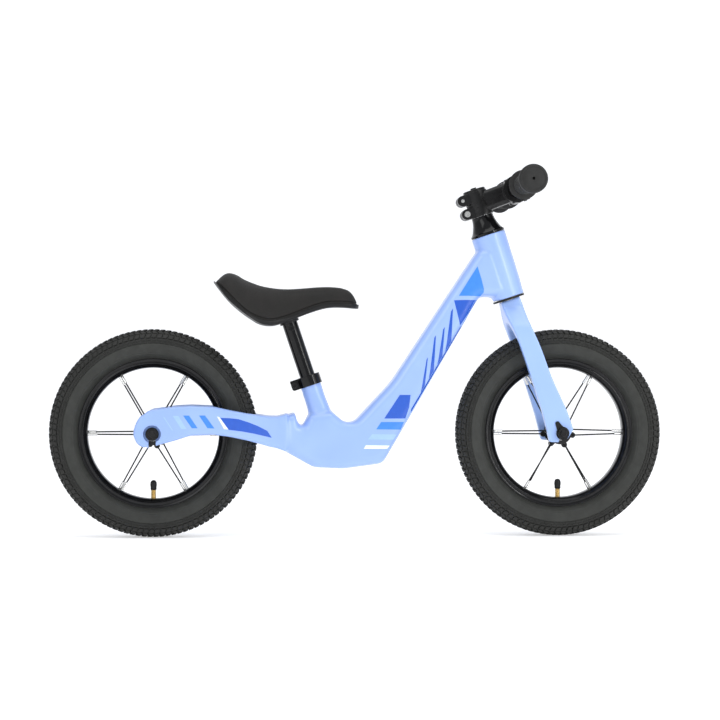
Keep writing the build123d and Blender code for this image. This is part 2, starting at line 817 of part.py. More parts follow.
def make_fork():
    back, front = fork_side_outline()
    axle = front_axle_point
    outer = fork_half_gap + fork_leg_thickness
    arch_top = tyre_diameter + fork_arch_clearance
    crown_top = head_foot.Z + neck_width
    leg_end = tyre_radius - 20
    with BuildPart() as fork:
        with BuildSketch(Plane.XZ):
            with BuildLine():
                rear = Spline(*back)
                fore = Spline(*front)
                Polyline(rear @ 0, on_head(-neck_width / 2 + 0.6, -head_seal_height),
                         on_head(neck_width / 2 - 0.6, -head_seal_height), fore @ 0)
                Polyline(fore @ 1, beside(axle, 8, -6.8), beside(axle, -6.9, -12.9),
                         beside(axle, -18, -12.4), rear @ 1)
            make_face()
        extrude(amount=outer, both=True)
        half = [
            (neck_width / 2 + 1, crown_top, 0),
            (neck_width / 2 + 1, arch_top + 25, 12),
            (outer, arch_top - 6, 30),
            (outer, leg_end, 0),
        ]
        front_view = half + [(-y, z, radius) for y, z, radius in reversed(half)]
        extrude(rounded_face(front_view, Plane.YZ), amount=wheelbase, mode=Mode.INTERSECT)
        with BuildSketch(Plane.YZ):
            with Locations((0, arch_top - fork_half_gap)):
                Circle(fork_half_gap)
            with Locations((0, 0)):
                Rectangle(2 * fork_half_gap, 2 * (arch_top - fork_half_gap))
        extrude(amount=wheelbase, mode=Mode.SUBTRACT)
        with BuildSketch(head_plane.offset(-head_seal_height)):
            Circle(neck_width / 2 - 0.4)
        extrude(amount=-8)
        with BuildSketch(head_plane.offset(-head_seal_height)):
            Circle(steerer_radius + seat_fit)
        extrude(amount=-steerer_insertion, mode=Mode.SUBTRACT)
        tab_x, tab_z = tab_place()
        for side in (-1, 1):
            with BuildSketch(across(tab_x, tab_z, outer, side)):
                Circle(retention_peg_radius + 0.4)
            extrude(amount=-retention_peg_length - 1, mode=Mode.SUBTRACT)
        add(axle_slots(front_x), mode=Mode.SUBTRACT)
    keep(fork, "fork")


def head_ring(name, start, height, inner, outer):
    """A plain ring round the steering axis."""
    with BuildPart() as ring:
        with BuildSketch(head_plane.offset(start)):
            Circle(outer)
            Circle(inner, mode=Mode.SUBTRACT)
        extrude(amount=height)
    keep(ring, name)


def make_headset():
    clamped = steerer_radius + seat_fit
    race_radius = head_bearing_diameter / 2 - 2
    head_ring("crown_race", -head_seal_height, head_seal_height + 0.7, clamped, race_radius)
    head_ring("lower_head_seal", -head_seal_height, head_seal_height - body_gap,
              race_radius + 0.1, head_tube_foot_diameter / 2)
    head_ring("head_compression_ring", head_tube_length - 1.0 + body_gap, 6.0, clamped,
              head_bearing_diameter / 2 - 4)
    low = head_tube_length + body_gap
    high = head_tube_length + 1.0 + top_cover_height
    bottom = head_tube_diameter / 2
    neck = top_cover_neck_diameter / 2
    with BuildPart() as cover:
        with BuildSketch(head_section):
            with BuildLine():
                flare = Spline((bottom, low + 3), (neck + 4.2, low + 10.5), (neck, high),
                               tangents=[(-1, 0.7), (0, 1)])
                Polyline(flare @ 0, (bottom, low), (head_bearing_diameter / 2 - 2, low),
                         (steerer_radius + 4.2, low + 8), (steerer_radius + seat_fit, low + 9),
                         (steerer_radius + seat_fit, high), flare @ 1)
            make_face()
        revolve(axis=head_axis)
    keep(cover, "head_top_cover")


def make_steerer():
    low = -head_seal_height - steerer_insertion + 0.5
    high = stem_foot + stem_clamp_height - 2.5
    inner = steerer_radius - steerer_wall
    head_ring("steerer_tube", low, high - low, inner, steerer_radius)
    with BuildPart() as nut:
        for start in (high - 18, high - 10):
            with BuildSketch(head_plane.offset(start)):
                Circle(inner - seat_fit)
            extrude(amount=1.6)
        with BuildSketch(head_plane.offset(high - 18)):
            Circle(4.5)
        extrude(amount=9)
        with BuildSketch(head_plane.offset(high - 20)):
            Circle(small_bolt_diameter / 2 + seat_fit)
        extrude(amount=20, mode=Mode.SUBTRACT)
    keep(nut, "star_nut")


def stem_bolt_points():
    """Middles of the two bolts that pinch the steerer, behind the steering axis."""
    heights = (stem_middle - stem_bolt_spacing / 2, stem_middle + stem_bolt_spacing / 2)
    return [head_foot + head_up * height - head_forward * stem_bolt_setback for height in heights]


def bar_plane_at(depth):
    """A plane square to the stem's reach, at a depth in front of the bar's centre."""
    reach = (bar_centre - (head_foot + head_up * stem_middle)).normalized()
    return Plane(origin=bar_centre + reach * depth, x_dir=(0, 1, 0), z_dir=reach), reach


def faceplate_bolt_spots():
    """Places of the four faceplate bolts on a plane square to the stem's reach."""
    return GridLocations(bar_clamp_width - 11, bar_clamp_diameter + small_bolt_diameter + 1.4, 2, 2)


def make_stem():
    split_plane, reach = bar_plane_at(0)
    clamp_base = head_plane.offset(stem_foot)
    beam_length = (bar_centre - (head_foot + head_up * stem_middle)).length
    with BuildPart() as stem:
        with BuildSketch(clamp_base):
            Circle(stem_clamp_radius)
        extrude(amount=stem_clamp_height)
        with BuildSketch(Plane(origin=bar_centre - reach * beam_length, x_dir=(0, 1, 0), z_dir=reach)):
            RectangleRounded(stem_beam_width, stem_beam_height, 7)
        extrude(amount=beam_length - 8)
        with BuildSketch(Plane(origin=bar_centre, x_dir=(1, 0, 0), z_dir=(0, 1, 0))):
            Circle(bar_clamp_radius)
        extrude(amount=bar_clamp_width / 2, both=True)
        for point in stem_bolt_points():
            with BuildSketch(Plane(origin=point, x_dir=head_forward, z_dir=(0, -1, 0))):
                Circle(stem_ear_radius)
                with Locations((stem_bolt_setback / 2, 0)):
                    Rectangle(stem_bolt_setback, 2 * stem_ear_radius)
            extrude(amount=stem_ear_width / 2, both=True)
        with BuildSketch(clamp_base.offset(-1)):
            Circle(steerer_radius + seat_fit)
            with Locations((-stem_clamp_radius, 0)):
                Rectangle(3 * stem_clamp_radius - 6, stem_split)
        extrude(amount=stem_clamp_height + 2, mode=Mode.SUBTRACT)
        for point in stem_bolt_points():
            with BuildSketch(Plane(origin=point, x_dir=(1, 0, 0), z_dir=(0, 1, 0))):
                Circle(small_bolt_diameter / 2 + seat_fit)
            extrude(amount=stem_ear_width, both=True, mode=Mode.SUBTRACT)
        with BuildSketch(Plane(origin=bar_centre, x_dir=(1, 0, 0), z_dir=(0, 1, 0))):
            Circle(bar_clamp_diameter / 2 + running_fit)
        extrude(amount=bar_clamp_width, both=True, mode=Mode.SUBTRACT)
        with BuildSketch(split_plane.offset(-0.6)):
            Rectangle(2 * bar_clamp_width, 4 * bar_clamp_radius)
        extrude(amount=2 * bar_clamp_radius, mode=Mode.SUBTRACT)
        with BuildSketch(split_plane.offset(-14)):
            with faceplate_bolt_spots():
                Circle(small_bolt_diameter / 2 + seat_fit)
        extrude(amount=16, mode=Mode.SUBTRACT)
    keep(stem, "stem_body")


def make_faceplate():
    split_plane, reach = bar_plane_at(0)
    with BuildPart() as plate:
        with BuildSketch(Plane(origin=bar_centre, x_dir=(1, 0, 0), z_dir=(0, 1, 0))):
            Circle(bar_clamp_radius)
            Circle(bar_clamp_diameter / 2 + running_fit, mode=Mode.SUBTRACT)
        extrude(amount=bar_clamp_width / 2, both=True)
        with BuildSketch(split_plane.offset(0.6)):
            Rectangle(2 * bar_clamp_width, 4 * bar_clamp_radius)
        extrude(amount=-2 * bar_clamp_radius, mode=Mode.SUBTRACT)
        with BuildSketch(split_plane):
            with faceplate_bolt_spots():
                Circle(small_bolt_diameter / 2 + seat_fit)
        extrude(amount=2 * bar_clamp_radius, mode=Mode.SUBTRACT)
        with BuildSketch(split_plane.offset(faceplate_head_depth)):
            with faceplate_bolt_spots():
                Circle(small_head_diameter / 2 + 0.2)
        extrude(amount=2 * bar_clamp_radius, mode=Mode.SUBTRACT)
    keep(plate, "stem_faceplate")
    with BuildPart() as bolts:
        with BuildSketch(split_plane.offset(-13)):
            with faceplate_bolt_spots():
                Circle(small_bolt_diameter / 2)
        extrude(amount=13 + faceplate_head_depth)
        with BuildSketch(split_plane.offset(faceplate_head_depth)):
            with faceplate_bolt_spots():
                Circle(small_head_diameter / 2)
                RegularPolygon(small_socket_radius, 6, mode=Mode.SUBTRACT)
        extrude(amount=small_head_height)
    keep(bolts, "faceplate_bolts")


def make_stem_fittings():
    with BuildPart() as pinch:
        for point, side in zip(stem_bolt_points(), (-1, 1)):
            add(socket_bolt(point, stem_ear_width / 2, side, stem_ear_width))
    keep(pinch, "stem_pinch_bolts")
    top = stem_foot + stem_clamp_height
    with BuildPart() as cap:
        with BuildSketch(head_plane.offset(top)):
            Circle(stem_clamp_radius - 1.2)
        extrude(amount=stem_cap_thickness)
        fillet(cap.edges().sort_by(Axis(head_foot, head_up))[-1], 1.6)
        with BuildSketch(head_plane.offset(top)):
            Circle(small_bolt_diameter / 2 + seat_fit)
        extrude(amount=4, mode=Mode.SUBTRACT)
    keep(cap, "stem_top_cap")
    with BuildPart() as bolt:
        with BuildSketch(head_plane.offset(top + stem_cap_thickness)):
            Circle(small_head_diameter / 2)
            RegularPolygon(small_socket_radius, 6, mode=Mode.SUBTRACT)
        extrude(amount=2.4)
        with BuildSketch(head_plane.offset(top + stem_cap_thickness)):
            Circle(small_bolt_diameter / 2)
        extrude(amount=-20)
    keep(bolt, "stem_cap_bolt")


# ======================= Handlebar =======================

def make_handlebar():
    """One straight tube, swaged up to the clamp's size over its middle."""
    tip = bar_width / 2 - grip_end_wall
    half = bar_bulge_length / 2
    outer = bar_diameter / 2
    bulge = bar_clamp_diameter / 2
    with BuildPart() as bar:
        with BuildSketch(Plane(origin=bar_centre, x_dir=(1, 0, 0), z_dir=(0, 0, 1))):
            with BuildLine():
                Polyline((outer - bar_wall, -tip), (outer, -tip), (outer, -half - bar_taper),
                         (bulge, -half), (bulge, half), (outer, half + bar_taper), (outer, tip),
                         (outer - bar_wall, tip), close=True)
            make_face()
        revolve(axis=Axis(bar_centre, (0, 1, 0)))
    keep(bar, "handlebar")


def make_grips():
    body = grip_diameter / 2
    for name, side in (("left", 1), ("right", -1)):
        outwards = Vector(0, side, 0)
        root = bar_centre + outwards * (bar_width / 2 - grip_length)
        section = Plane(origin=root, x_dir=(1, 0, 0), z_dir=outwards)
        with BuildPart() as grip:
            with BuildSketch(section):
                Circle(body)
            extrude(amount=grip_length - 8)
            with BuildSketch(section):
                Circle(grip_flange_diameter / 2)
            extrude(amount=grip_flange_thickness)
            with BuildSketch(section.offset(grip_length - grip_end_thickness)):
                Circle(grip_end_diameter / 2)
            extrude(amount=grip_end_thickness)
            fillet(grip.edges().sort_by(Axis(root, outwards))[-1], 3)
            with BuildSketch(section):
                Circle(bar_diameter / 2 + seat_fit)
            extrude(amount=grip_length - grip_end_wall, mode=Mode.SUBTRACT)
        keep(grip, f"grip_{name}")


# ======================= Seat =======================

def make_seat_post():
    inner = seat_post_diameter / 2 - seat_post_wall
    screw = post_top - seat_up * saddle_screw_drop
    with BuildPart() as post:
        with BuildSketch(seat_plane.offset(seat_post_top - seat_post_length)):
            Circle(seat_post_diameter / 2)
            Circle(inner, mode=Mode.SUBTRACT)
        extrude(amount=seat_post_length)
        with BuildSketch(Plane(origin=screw, x_dir=(1, 0, 0), z_dir=(0, 1, 0))):
            Circle(small_bolt_diameter / 2 + seat_fit)
        extrude(amount=seat_post_diameter, both=True, mode=Mode.SUBTRACT)
    keep(post, "seat_post")


def seam_points():
    """Side view of the line where the saddle's cover meets its base, tail to nose."""
    return [
        beside(post_top, -109, 59),
        beside(post_top, -92.7, 43.3),
        beside(post_top, -63.5, 15),
        beside(post_top, -27, 2.3),
        beside(post_top, 9.5, 12.9),
        beside(post_top, 53.5, 27.5),
        beside(post_top, 99, 26),
    ]


def saddle_top_points():
    """Side view of the saddle's upper surface, tail to nose."""
    return [
        beside(post_top, -109, 59),
        beside(post_top, -97.4, 70),
        beside(post_top, -87, 72.1),
        beside(post_top, -66.5, 63.3),
        beside(post_top, -41.4, 53.7),
        beside(post_top, -4.5, 49.1),
        beside(post_top, 40, 52),
        beside(post_top, 77, 50.2),
        beside(post_top, 97.7, 36.9),
        beside(post_top, 99, 26),
    ]


def saddle_plan(inset):
    """The saddle's outline from above, drawn in by an inset, below the whole saddle."""
    wide = saddle_width / 2 - inset
    nose = saddle_nose_width / 2 - inset * 0.7
    half = [
        (post_top.X + 100 - inset, 0),
        (post_top.X + 88 - inset, nose * 0.86),
        (post_top.X + 40, nose * 1.22),
        (post_top.X - 10, nose * 1.55),
        (post_top.X - 50, wide * 0.86),
        (post_top.X - 85, wide),
        (post_top.X - 108 + inset, wide * 0.62),
        (post_top.X - 111 + inset, 0),
    ]
    with BuildSketch(Plane.XY.offset(post_top.Z - 50)) as plan:
        with BuildLine():
            Spline(*half, tangents=[(0, 1), (0, -1)])
            Spline(*[(x, -y) for x, y in half], tangents=[(0, -1), (0, 1)])
        make_face()
    return plan.sketch


def make_saddle_pad():
    with BuildPart() as pad:
        with BuildSketch(Plane.XZ):
            with BuildLine():
                Spline(*saddle_top_points())
                Spline(*seam_points())
            make_face()
        extrude(amount=saddle_width, both=True)
        extrude(saddle_plan(0), amount=200, mode=Mode.INTERSECT)
    keep(pad, "saddle_pad")


def make_saddle_base():
    seam = [(x, z - 0.2) for x, z in seam_points()]
    lower = [
        beside(post_top, -109, 56.8),
        beside(post_top, -85, 28.5),
        beside(post_top, -56, 5.7),
        beside(post_top, -26, -3.9),
        beside(post_top, 13, 8.7),
        beside(post_top, 54.7, 22.1),
        beside(post_top, 97.5, 20.6),
    ]
    with BuildPart() as base:
        with BuildSketch(Plane.XZ):
            with BuildLine():
                upper = Spline(*seam)
                under = Spline(*lower)
                Line(upper @ 0, under @ 0)
                Line(upper @ 1, under @ 1)
            make_face()
        extrude(amount=saddle_width, both=True)
        extrude(saddle_plan(saddle_base_inset), amount=200, mode=Mode.INTERSECT)
        add(saddle_spigot())
    keep(base, "saddle_base")


def saddle_spigot():
    """The collar and stalk under the base that stand on and in the seat post."""
    screw = post_top - seat_up * saddle_screw_drop
    with BuildPart() as spigot:
        with BuildSketch(seat_plane.offset(seat_post_top)):
            Circle(seat_post_diameter / 2 + 3)
        extrude(amount=spigot_collar_height)
        with BuildSketch(seat_plane.offset(seat_post_top)):
            Circle(seat_post_diameter / 2 - seat_post_wall - seat_fit)
        extrude(amount=-spigot_length)
        with BuildSketch(Plane(origin=screw, x_dir=(1, 0, 0), z_dir=(0, 1, 0))):
            Circle(small_bolt_diameter / 2 + seat_fit)
        extrude(amount=seat_post_diameter, both=True, mode=Mode.SUBTRACT)
    return spigot.part


def make_saddle_screw():
    """The cross screw through post and spigot, with its nut on the far side."""
    middle = post_top - seat_up * saddle_screw_drop
    face = seat_post_diameter / 2
    with BuildPart() as screw:
        add(socket_bolt(middle, face, -1, 2 * face + small_head_height))
    keep(screw, "saddle_screw")
    with BuildPart() as nut:
        with BuildSketch(Plane(origin=middle + Vector(0, face, 0), x_dir=(1, 0, 0), z_dir=(0, 1, 0))):
            Circle(small_head_diameter / 2)
            Circle(small_bolt_diameter / 2 + seat_fit, mode=Mode.SUBTRACT)
        extrude(amount=small_head_height - 0.6)
    keep(nut, "saddle_screw_nut")


os.makedirs("parts", exist_ok=True)
for end, x in (("front", front_x), ("rear", rear_x)):
    make_tyre(end, x)
    make_inner_tube(end, x)
    make_rim(end, x)
    make_rim_tape(end, x)
    make_spokes(end, x)
    make_nipples(end, x)
    make_hub(end, x)
    make_hub_bearings(end, x)
    make_valve(end, x)
make_axle_set("front", front_x, fork_half_gap, make_retention_washers())
make_axle_set("rear", rear_x, rear_half_gap, make_rear_washers())
make_frame()
make_head_bearings()
make_seat_clamp()
make_fork()
make_headset()
make_steerer()
make_stem()
make_faceplate()
make_stem_fittings()
make_handlebar()
make_grips()
make_seat_post()
make_saddle_pad()
make_saddle_base()
make_saddle_screw()
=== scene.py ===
import json
import math

import bmesh
import bpy
import numpy as np
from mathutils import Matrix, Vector
from mathutils.bvhtree import BVHTree


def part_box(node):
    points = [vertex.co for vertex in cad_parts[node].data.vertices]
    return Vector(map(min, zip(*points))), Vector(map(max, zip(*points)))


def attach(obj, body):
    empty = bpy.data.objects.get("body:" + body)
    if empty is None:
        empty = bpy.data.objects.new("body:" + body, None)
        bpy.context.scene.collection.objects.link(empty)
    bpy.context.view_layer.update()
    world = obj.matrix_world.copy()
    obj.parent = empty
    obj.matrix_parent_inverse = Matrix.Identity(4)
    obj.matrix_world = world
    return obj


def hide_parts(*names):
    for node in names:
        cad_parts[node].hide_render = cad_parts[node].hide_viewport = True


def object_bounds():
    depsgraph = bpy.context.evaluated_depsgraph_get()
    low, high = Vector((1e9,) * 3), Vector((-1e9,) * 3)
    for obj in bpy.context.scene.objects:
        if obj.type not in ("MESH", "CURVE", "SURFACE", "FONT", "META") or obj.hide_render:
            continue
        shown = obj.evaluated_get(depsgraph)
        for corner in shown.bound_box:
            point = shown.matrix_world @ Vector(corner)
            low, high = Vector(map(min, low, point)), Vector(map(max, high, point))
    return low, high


# A child's balance bike. +X is forward, +Y the rider's left, +Z up; metres, with
# profile sizes given in millimetres.

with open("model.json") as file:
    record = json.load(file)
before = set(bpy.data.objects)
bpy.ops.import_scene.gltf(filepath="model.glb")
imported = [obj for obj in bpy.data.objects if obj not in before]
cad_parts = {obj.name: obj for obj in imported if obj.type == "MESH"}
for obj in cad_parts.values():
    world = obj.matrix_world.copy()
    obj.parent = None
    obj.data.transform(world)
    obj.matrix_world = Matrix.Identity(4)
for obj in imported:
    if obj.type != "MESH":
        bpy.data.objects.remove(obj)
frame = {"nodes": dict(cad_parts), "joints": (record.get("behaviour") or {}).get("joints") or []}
cad_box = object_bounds()

MM = 0.001
ACROSS = Vector((0, 1, 0))
UP = Vector((0, 0, 1))


def middle(node):
    low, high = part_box(node)
    return (low + high) / 2


joint_axis = {joint["name"]: Vector(joint["axis"]) for joint in frame["joints"]}
head_up = joint_axis["steering"].normalized()
head_forward = Vector((head_up.z, 0, -head_up.x))
seat_up = joint_axis["seat_height"].normalized()
wheel_centre = {end: middle(f"{end}_tyre") for end in ("front", "rear")}


# ======================= Colour and material =======================

def colour(code):
    """An sRGB hex colour as linear red, green, blue and alpha."""
    parts = [int(code[i:i + 2], 16) / 255 for i in (0, 2, 4)]
    return [p / 12.92 if p <= 0.04045 else ((p + 0.055) / 1.055) ** 2.4 for p in parts] + [1.0]


def add(tree, kind, inputs=None, **settings):
    """Adds a node with its settings; each input is a value or another node's socket."""
    made = tree.nodes.new("ShaderNode" + kind)
    for name, value in settings.items():
        setattr(made, name, value)
    for name, value in (inputs or {}).items():
        if isinstance(value, bpy.types.NodeSocket):
            tree.links.new(value, made.inputs[name])
        else:
            made.inputs[name].default_value = value
    return made


def start(name, **values):
    """A new material: its node tree, its shader and the object's own coordinates."""
    material = bpy.data.materials.new(name)
    material.use_nodes = True
    tree = material.node_tree
    shader = tree.nodes["Principled BSDF"]
    for socket, value in values.items():
        shader.inputs[socket.replace("_", " ")].default_value = value
    place = add(tree, "TexCoord").outputs["Object"]
    return material, tree, shader, place


def blend(tree, amount, first, second):
    """A colour between two, by an amount from 0 to 1."""
    mixed = add(tree, "Mix", {"Factor": amount}, data_type="RGBA")
    for index, value in ((6, first), (7, second)):
        if isinstance(value, bpy.types.NodeSocket):
            tree.links.new(value, mixed.inputs[index])
        else:
            mixed.inputs[index].default_value = value
    return mixed.outputs[2]


def spread(tree, value, low, high, to_low=0.0, to_high=1.0):
    """A value's range low to high taken to another range."""
    return add(tree, "MapRange", {"Value": value, "From Min": low, "From Max": high,
                                  "To Min": to_low, "To Max": to_high}).outputs["Result"]


def grain(tree, place, size, detail=3.0):
    """Noise whose lumps are about size millimetres across."""
    return add(tree, "TexNoise", {"Vector": place, "Scale": 1 / (size * MM),
                                  "Detail": detail}).outputs["Fac"]


def raise_by(tree, shader, height, depth, strength=1.0, under=None):
    """Bumps a shader by a height from 0 to 1, depth millimetres deep."""
    inputs = {"Height": height, "Distance": depth * MM, "Strength": strength}
    if under is not None:
        inputs["Normal"] = under
    bump = add(tree, "Bump", inputs)
    tree.links.new(bump.outputs["Normal"], shader.inputs["Normal"])
    return bump.outputs["Normal"]


def sprayed_paint(name, main, shade):
    """Satin paint sprayed on a cast magnesium alloy: an even soft gloss, with a faint
    orange peel and slow shifts of tone where the coat is thicker."""
    material, tree, shader, place = start(name, Roughness=0.33, IOR=1.5, Coat_Weight=0.35,
                                          Coat_Roughness=0.16)
    drift = spread(tree, grain(tree, place, 60, 2.0), 0.35, 0.65)
    tree.links.new(blend(tree, drift, colour(main), colour(shade)), shader.inputs["Base Color"])
    rough = spread(tree, grain(tree, place, 12, 2.0), 0.3, 0.7, 0.29, 0.37)
    tree.links.new(rough, shader.inputs["Roughness"])
    raise_by(tree, shader, grain(tree, place, 1.6, 2.0), 0.03, 0.35)
    return material


def transfer_film(name, main, shade):
    """Printed transfer under the lacquer: flat ink with a fine screen grain, slightly
    glossier than the paint round it."""
    material, tree, shader, place = start(name, Roughness=0.28, IOR=1.5, Coat_Weight=0.4,
                                          Coat_Roughness=0.12)
    ink = spread(tree, grain(tree, place, 5, 3.0), 0.3, 0.7)
    tree.links.new(blend(tree, ink, colour(main), colour(shade)), shader.inputs["Base Color"])
    raise_by(tree, shader, grain(tree, place, 1.2, 2.0), 0.02, 0.3)
    return material


def moulded_rubber(name, main, shade, roughness, size, depth):
    """Vulcanised rubber from a steel mould: matt, with a fine mould grain and a dusty
    bloom that lightens it in patches."""
    material, tree, shader, place = start(name, Roughness=roughness, IOR=1.52,
                                          Specular_IOR_Level=0.3)
    bloom = spread(tree, grain(tree, place, 14, 4.0), 0.35, 0.65)
    tree.links.new(blend(tree, bloom, colour(main), colour(shade)), shader.inputs["Base Color"])
    rough = spread(tree, grain(tree, place, 6, 2.0), 0.3, 0.7, roughness - 0.06, roughness + 0.06)
    tree.links.new(rough, shader.inputs["Roughness"])
    raise_by(tree, shader, grain(tree, place, size, 3.0), depth, 0.6)
    return material


def coated_alloy(name, main, roughness, size=2.0, depth=0.02, coat=0.3):
    """Black coated aluminium: a dark film over metal, gloss where the metal was polished
    first and satin where it was shot-blasted."""
    material, tree, shader, place = start(name, Roughness=roughness, IOR=1.5,
                                          Specular_IOR_Level=0.22, Coat_Weight=coat,
                                          Coat_Roughness=roughness * 0.5)
    cloud = spread(tree, grain(tree, place, 9, 2.0), 0.3, 0.7)
    lighter = [min(1.0, c * 1.6 + 0.002) for c in colour(main)[:3]] + [1.0]
    tree.links.new(blend(tree, cloud, colour(main), lighter), shader.inputs["Base Color"])
    rough = spread(tree, grain(tree, place, 4, 2.0), 0.3, 0.7, roughness * 0.85, roughness * 1.2)
    tree.links.new(rough, shader.inputs["Roughness"])
    raise_by(tree, shader, grain(tree, place, size, 2.0), depth, 0.4)
    return material


def worked_metal(name, main, shade, roughness, size=1.2, depth=0.01):
    """Bare or plated metal: bright, with the faint cloudiness of plating or turning."""
    material, tree, shader, place = start(name, Metallic=1.0, Roughness=roughness)
    cloud = spread(tree, grain(tree, place, 3, 3.0), 0.3, 0.7)
    tree.links.new(blend(tree, cloud, colour(main), colour(shade)), shader.inputs["Base Color"])
    rough = spread(tree, grain(tree, place, 2, 2.0), 0.3, 0.7, roughness * 0.8, roughness * 1.25)
    tree.links.new(rough, shader.inputs["Roughness"])
    raise_by(tree, shader, grain(tree, place, size, 2.0), depth, 0.3)
    return material


def moulded_plastic(name, main, roughness, size, depth):
    """Injection-moulded nylon or polypropylene: an even dark colour with the fine spark
    texture of its mould."""
    material, tree, shader, place = start(name, Roughness=roughness, IOR=1.49,
                                          Specular_IOR_Level=0.25)
    drift = spread(tree, grain(tree, place, 8, 3.0), 0.3, 0.7)
    lighter = [min(1.0, c * 1.35 + 0.002) for c in colour(main)[:3]] + [1.0]
    tree.links.new(blend(tree, drift, colour(main), lighter), shader.inputs["Base Color"])
    raise_by(tree, shader, grain(tree, place, size, 2.0), depth, 0.5)
    return material


def grained_vinyl(name):
    """PVC leathercloth over foam: a pebble grain of about 1 mm pressed into it, duller in the
    creases, which are also darkened with painted shade."""
    material, tree, shader, place = start(name, Roughness=0.58, IOR=1.5,
                                          Specular_IOR_Level=0.28)
    # Real pebbles are about 0.7 mm; they are drawn at 1.1 mm so that they show.
    cells = add(tree, "TexVoronoi", {"Vector": place, "Scale": 1 / (1.1 * MM)},
                feature="DISTANCE_TO_EDGE").outputs["Distance"]
    pebble = spread(tree, cells, 0.0, 0.35)
    worn = spread(tree, grain(tree, place, 30, 3.0), 0.35, 0.65)
    base = blend(tree, worn, colour("22201e"), colour("1c1b19"))
    # The base colour darkens towards 121110 in the sunk creases between pebbles: painted shade.
    tree.links.new(blend(tree, spread(tree, pebble, 0, 1, 0.35, 0.0), base, colour("121110")),
                   shader.inputs["Base Color"])
    tree.links.new(spread(tree, pebble, 0, 1, 0.74, 0.56), shader.inputs["Roughness"])
    fine = raise_by(tree, shader, grain(tree, place, 0.5, 2.0), 0.04, 0.4)
    raise_by(tree, shader, pebble, 0.09, 0.7, under=fine)
    return material


frame_paint = sprayed_paint("satin_paint_pale_blue", "99b6ef", "94b1ec")
fork_paint = sprayed_paint("satin_paint_paler_blue", "9bb9f1", "97b5ee")
film_dark = transfer_film("transfer_film_deep_blue", "1a58c4", "1752bc")
film_mid = transfer_film("transfer_film_mid_blue", "3c88ec", "3782e6")
film_lilac = transfer_film("transfer_film_lilac_blue", "a2c3f8", "9dbff5")
film_white = transfer_film("transfer_film_white", "f3fafc", "eef5f8")
tread_rubber = moulded_rubber("vulcanised_tread_rubber", "2c2c2a", "262624", 0.72, 1.4, 0.10)
wall_rubber = moulded_rubber("vulcanised_sidewall_rubber", "343532", "2e2f2c", 0.62, 1.1, 0.06)
tube_rubber = moulded_rubber("butyl_tube_rubber", "242424", "1d1d1d", 0.5, 1.5, 0.03)
grip_rubber = moulded_rubber("soft_grip_rubber", "292928", "232322", 0.68, 0.9, 0.05)
seal_rubber = moulded_rubber("nitrile_seal_rubber", "161616", "1c1c1c", 0.5, 1.0, 0.03)
tape_plastic = moulded_plastic("woven_rim_tape_nylon", "1d1d1d", 0.6, 0.8, 0.05)
gloss_alloy = coated_alloy("gloss_black_powder_coated_aluminium", "070708", 0.12, 2.0, 0.01, 0.1)
rim_alloy = coated_alloy("gloss_black_anodised_rim_aluminium", "080809", 0.16, 3.0, 0.02, 0.12)
hub_alloy = coated_alloy("black_anodised_hub_aluminium", "101011", 0.24)
satin_alloy = coated_alloy("satin_black_shot_blasted_aluminium", "0e0e0e", 0.3, 0.6, 0.03, 0.1)
dark_steel = coated_alloy("black_oxide_steel", "121213", 0.28, 1.0, 0.015, 0.1)
spoke_steel = coated_alloy("black_coated_steel_wire", "080808", 0.6, 1.0, 0.01, 0.0)
plain_steel = worked_metal("turned_steel", "b9babb", "a3a4a6", 0.3)
zinc_steel = worked_metal("bright_zinc_plated_steel", "dcdcd8", "c4c4c0", 0.24)
nickel = worked_metal("bright_nickel_plated_brass", "e4e4e2", "cfcfcc", 0.2)
brass = worked_metal("turned_brass", "ecd6a6", "dcc38c", 0.3)
vinyl = grained_vinyl("pebble_grained_pvc_leathercloth")
shell_plastic = moulded_plastic("gloss_moulded_nylon", "0e0e0e", 0.38, 1.2, 0.01)
cap_plastic = moulded_plastic("moulded_polypropylene", "141415", 0.4, 0.7, 0.03)


def dress(obj, material):
    obj.data.materials.clear()
    obj.data.materials.append(material)


node_finish = {
    "lower_head_bearing": plain_steel, "upper_head_bearing": plain_steel,
    "seat_clamp_collar": gloss_alloy, "seat_clamp_bolt": dark_steel,
    "crown_race": plain_steel, "lower_head_seal": seal_rubber,
    "head_compression_ring": satin_alloy, "head_top_cover": gloss_alloy,
    "steerer_tube": plain_steel, "star_nut": plain_steel,
    "faceplate_bolts": dark_steel, "stem_pinch_bolts": zinc_steel,
    "stem_top_cap": satin_alloy, "stem_cap_bolt": dark_steel,
    "front_retention_washers": dark_steel, "rear_axle_washers": dark_steel,
    "handlebar": satin_alloy, "seat_post": gloss_alloy,
    "saddle_screw": dark_steel, "saddle_screw_nut": dark_steel,
}
for end in ("front", "rear"):
    node_finish.update({
        f"{end}_inner_tube": tube_rubber, f"{end}_rim_tape": tape_plastic,
        f"{end}_spokes": spoke_steel, f"{end}_nipples": nickel,
        f"{end}_hub_shell": hub_alloy, f"{end}_hub_bearings": plain_steel,
        f"{end}_axle": dark_steel, f"{end}_axle_spacers": dark_steel,
        f"{end}_axle_nuts": dark_steel,
    })
for name, finish in node_finish.items():
    dress(frame["nodes"][name], finish)


# ======================= Making pieces =======================

def settle(obj, material, body, nodes=(), sharp=35):
    """Smooths a new piece's shading, gives it its material and puts it on its body."""
    obj.data.shade_smooth()
    obj.data.set_sharp_from_angle(angle=math.radians(sharp))
    dress(obj, material)
    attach(obj, body)
    if nodes:
        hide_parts(*nodes)
    return obj


def placed(name, data):
    """A new object in the scene that shows some data, such as a mesh or a lamp."""
    obj = bpy.data.objects.new(name, data)
    bpy.context.scene.collection.objects.link(obj)
    return obj


def mesh_from(name, points, faces):
    mesh = bpy.data.meshes.new(name)
    mesh.from_pydata([tuple(p) for p in points], [], faces)
    return mesh


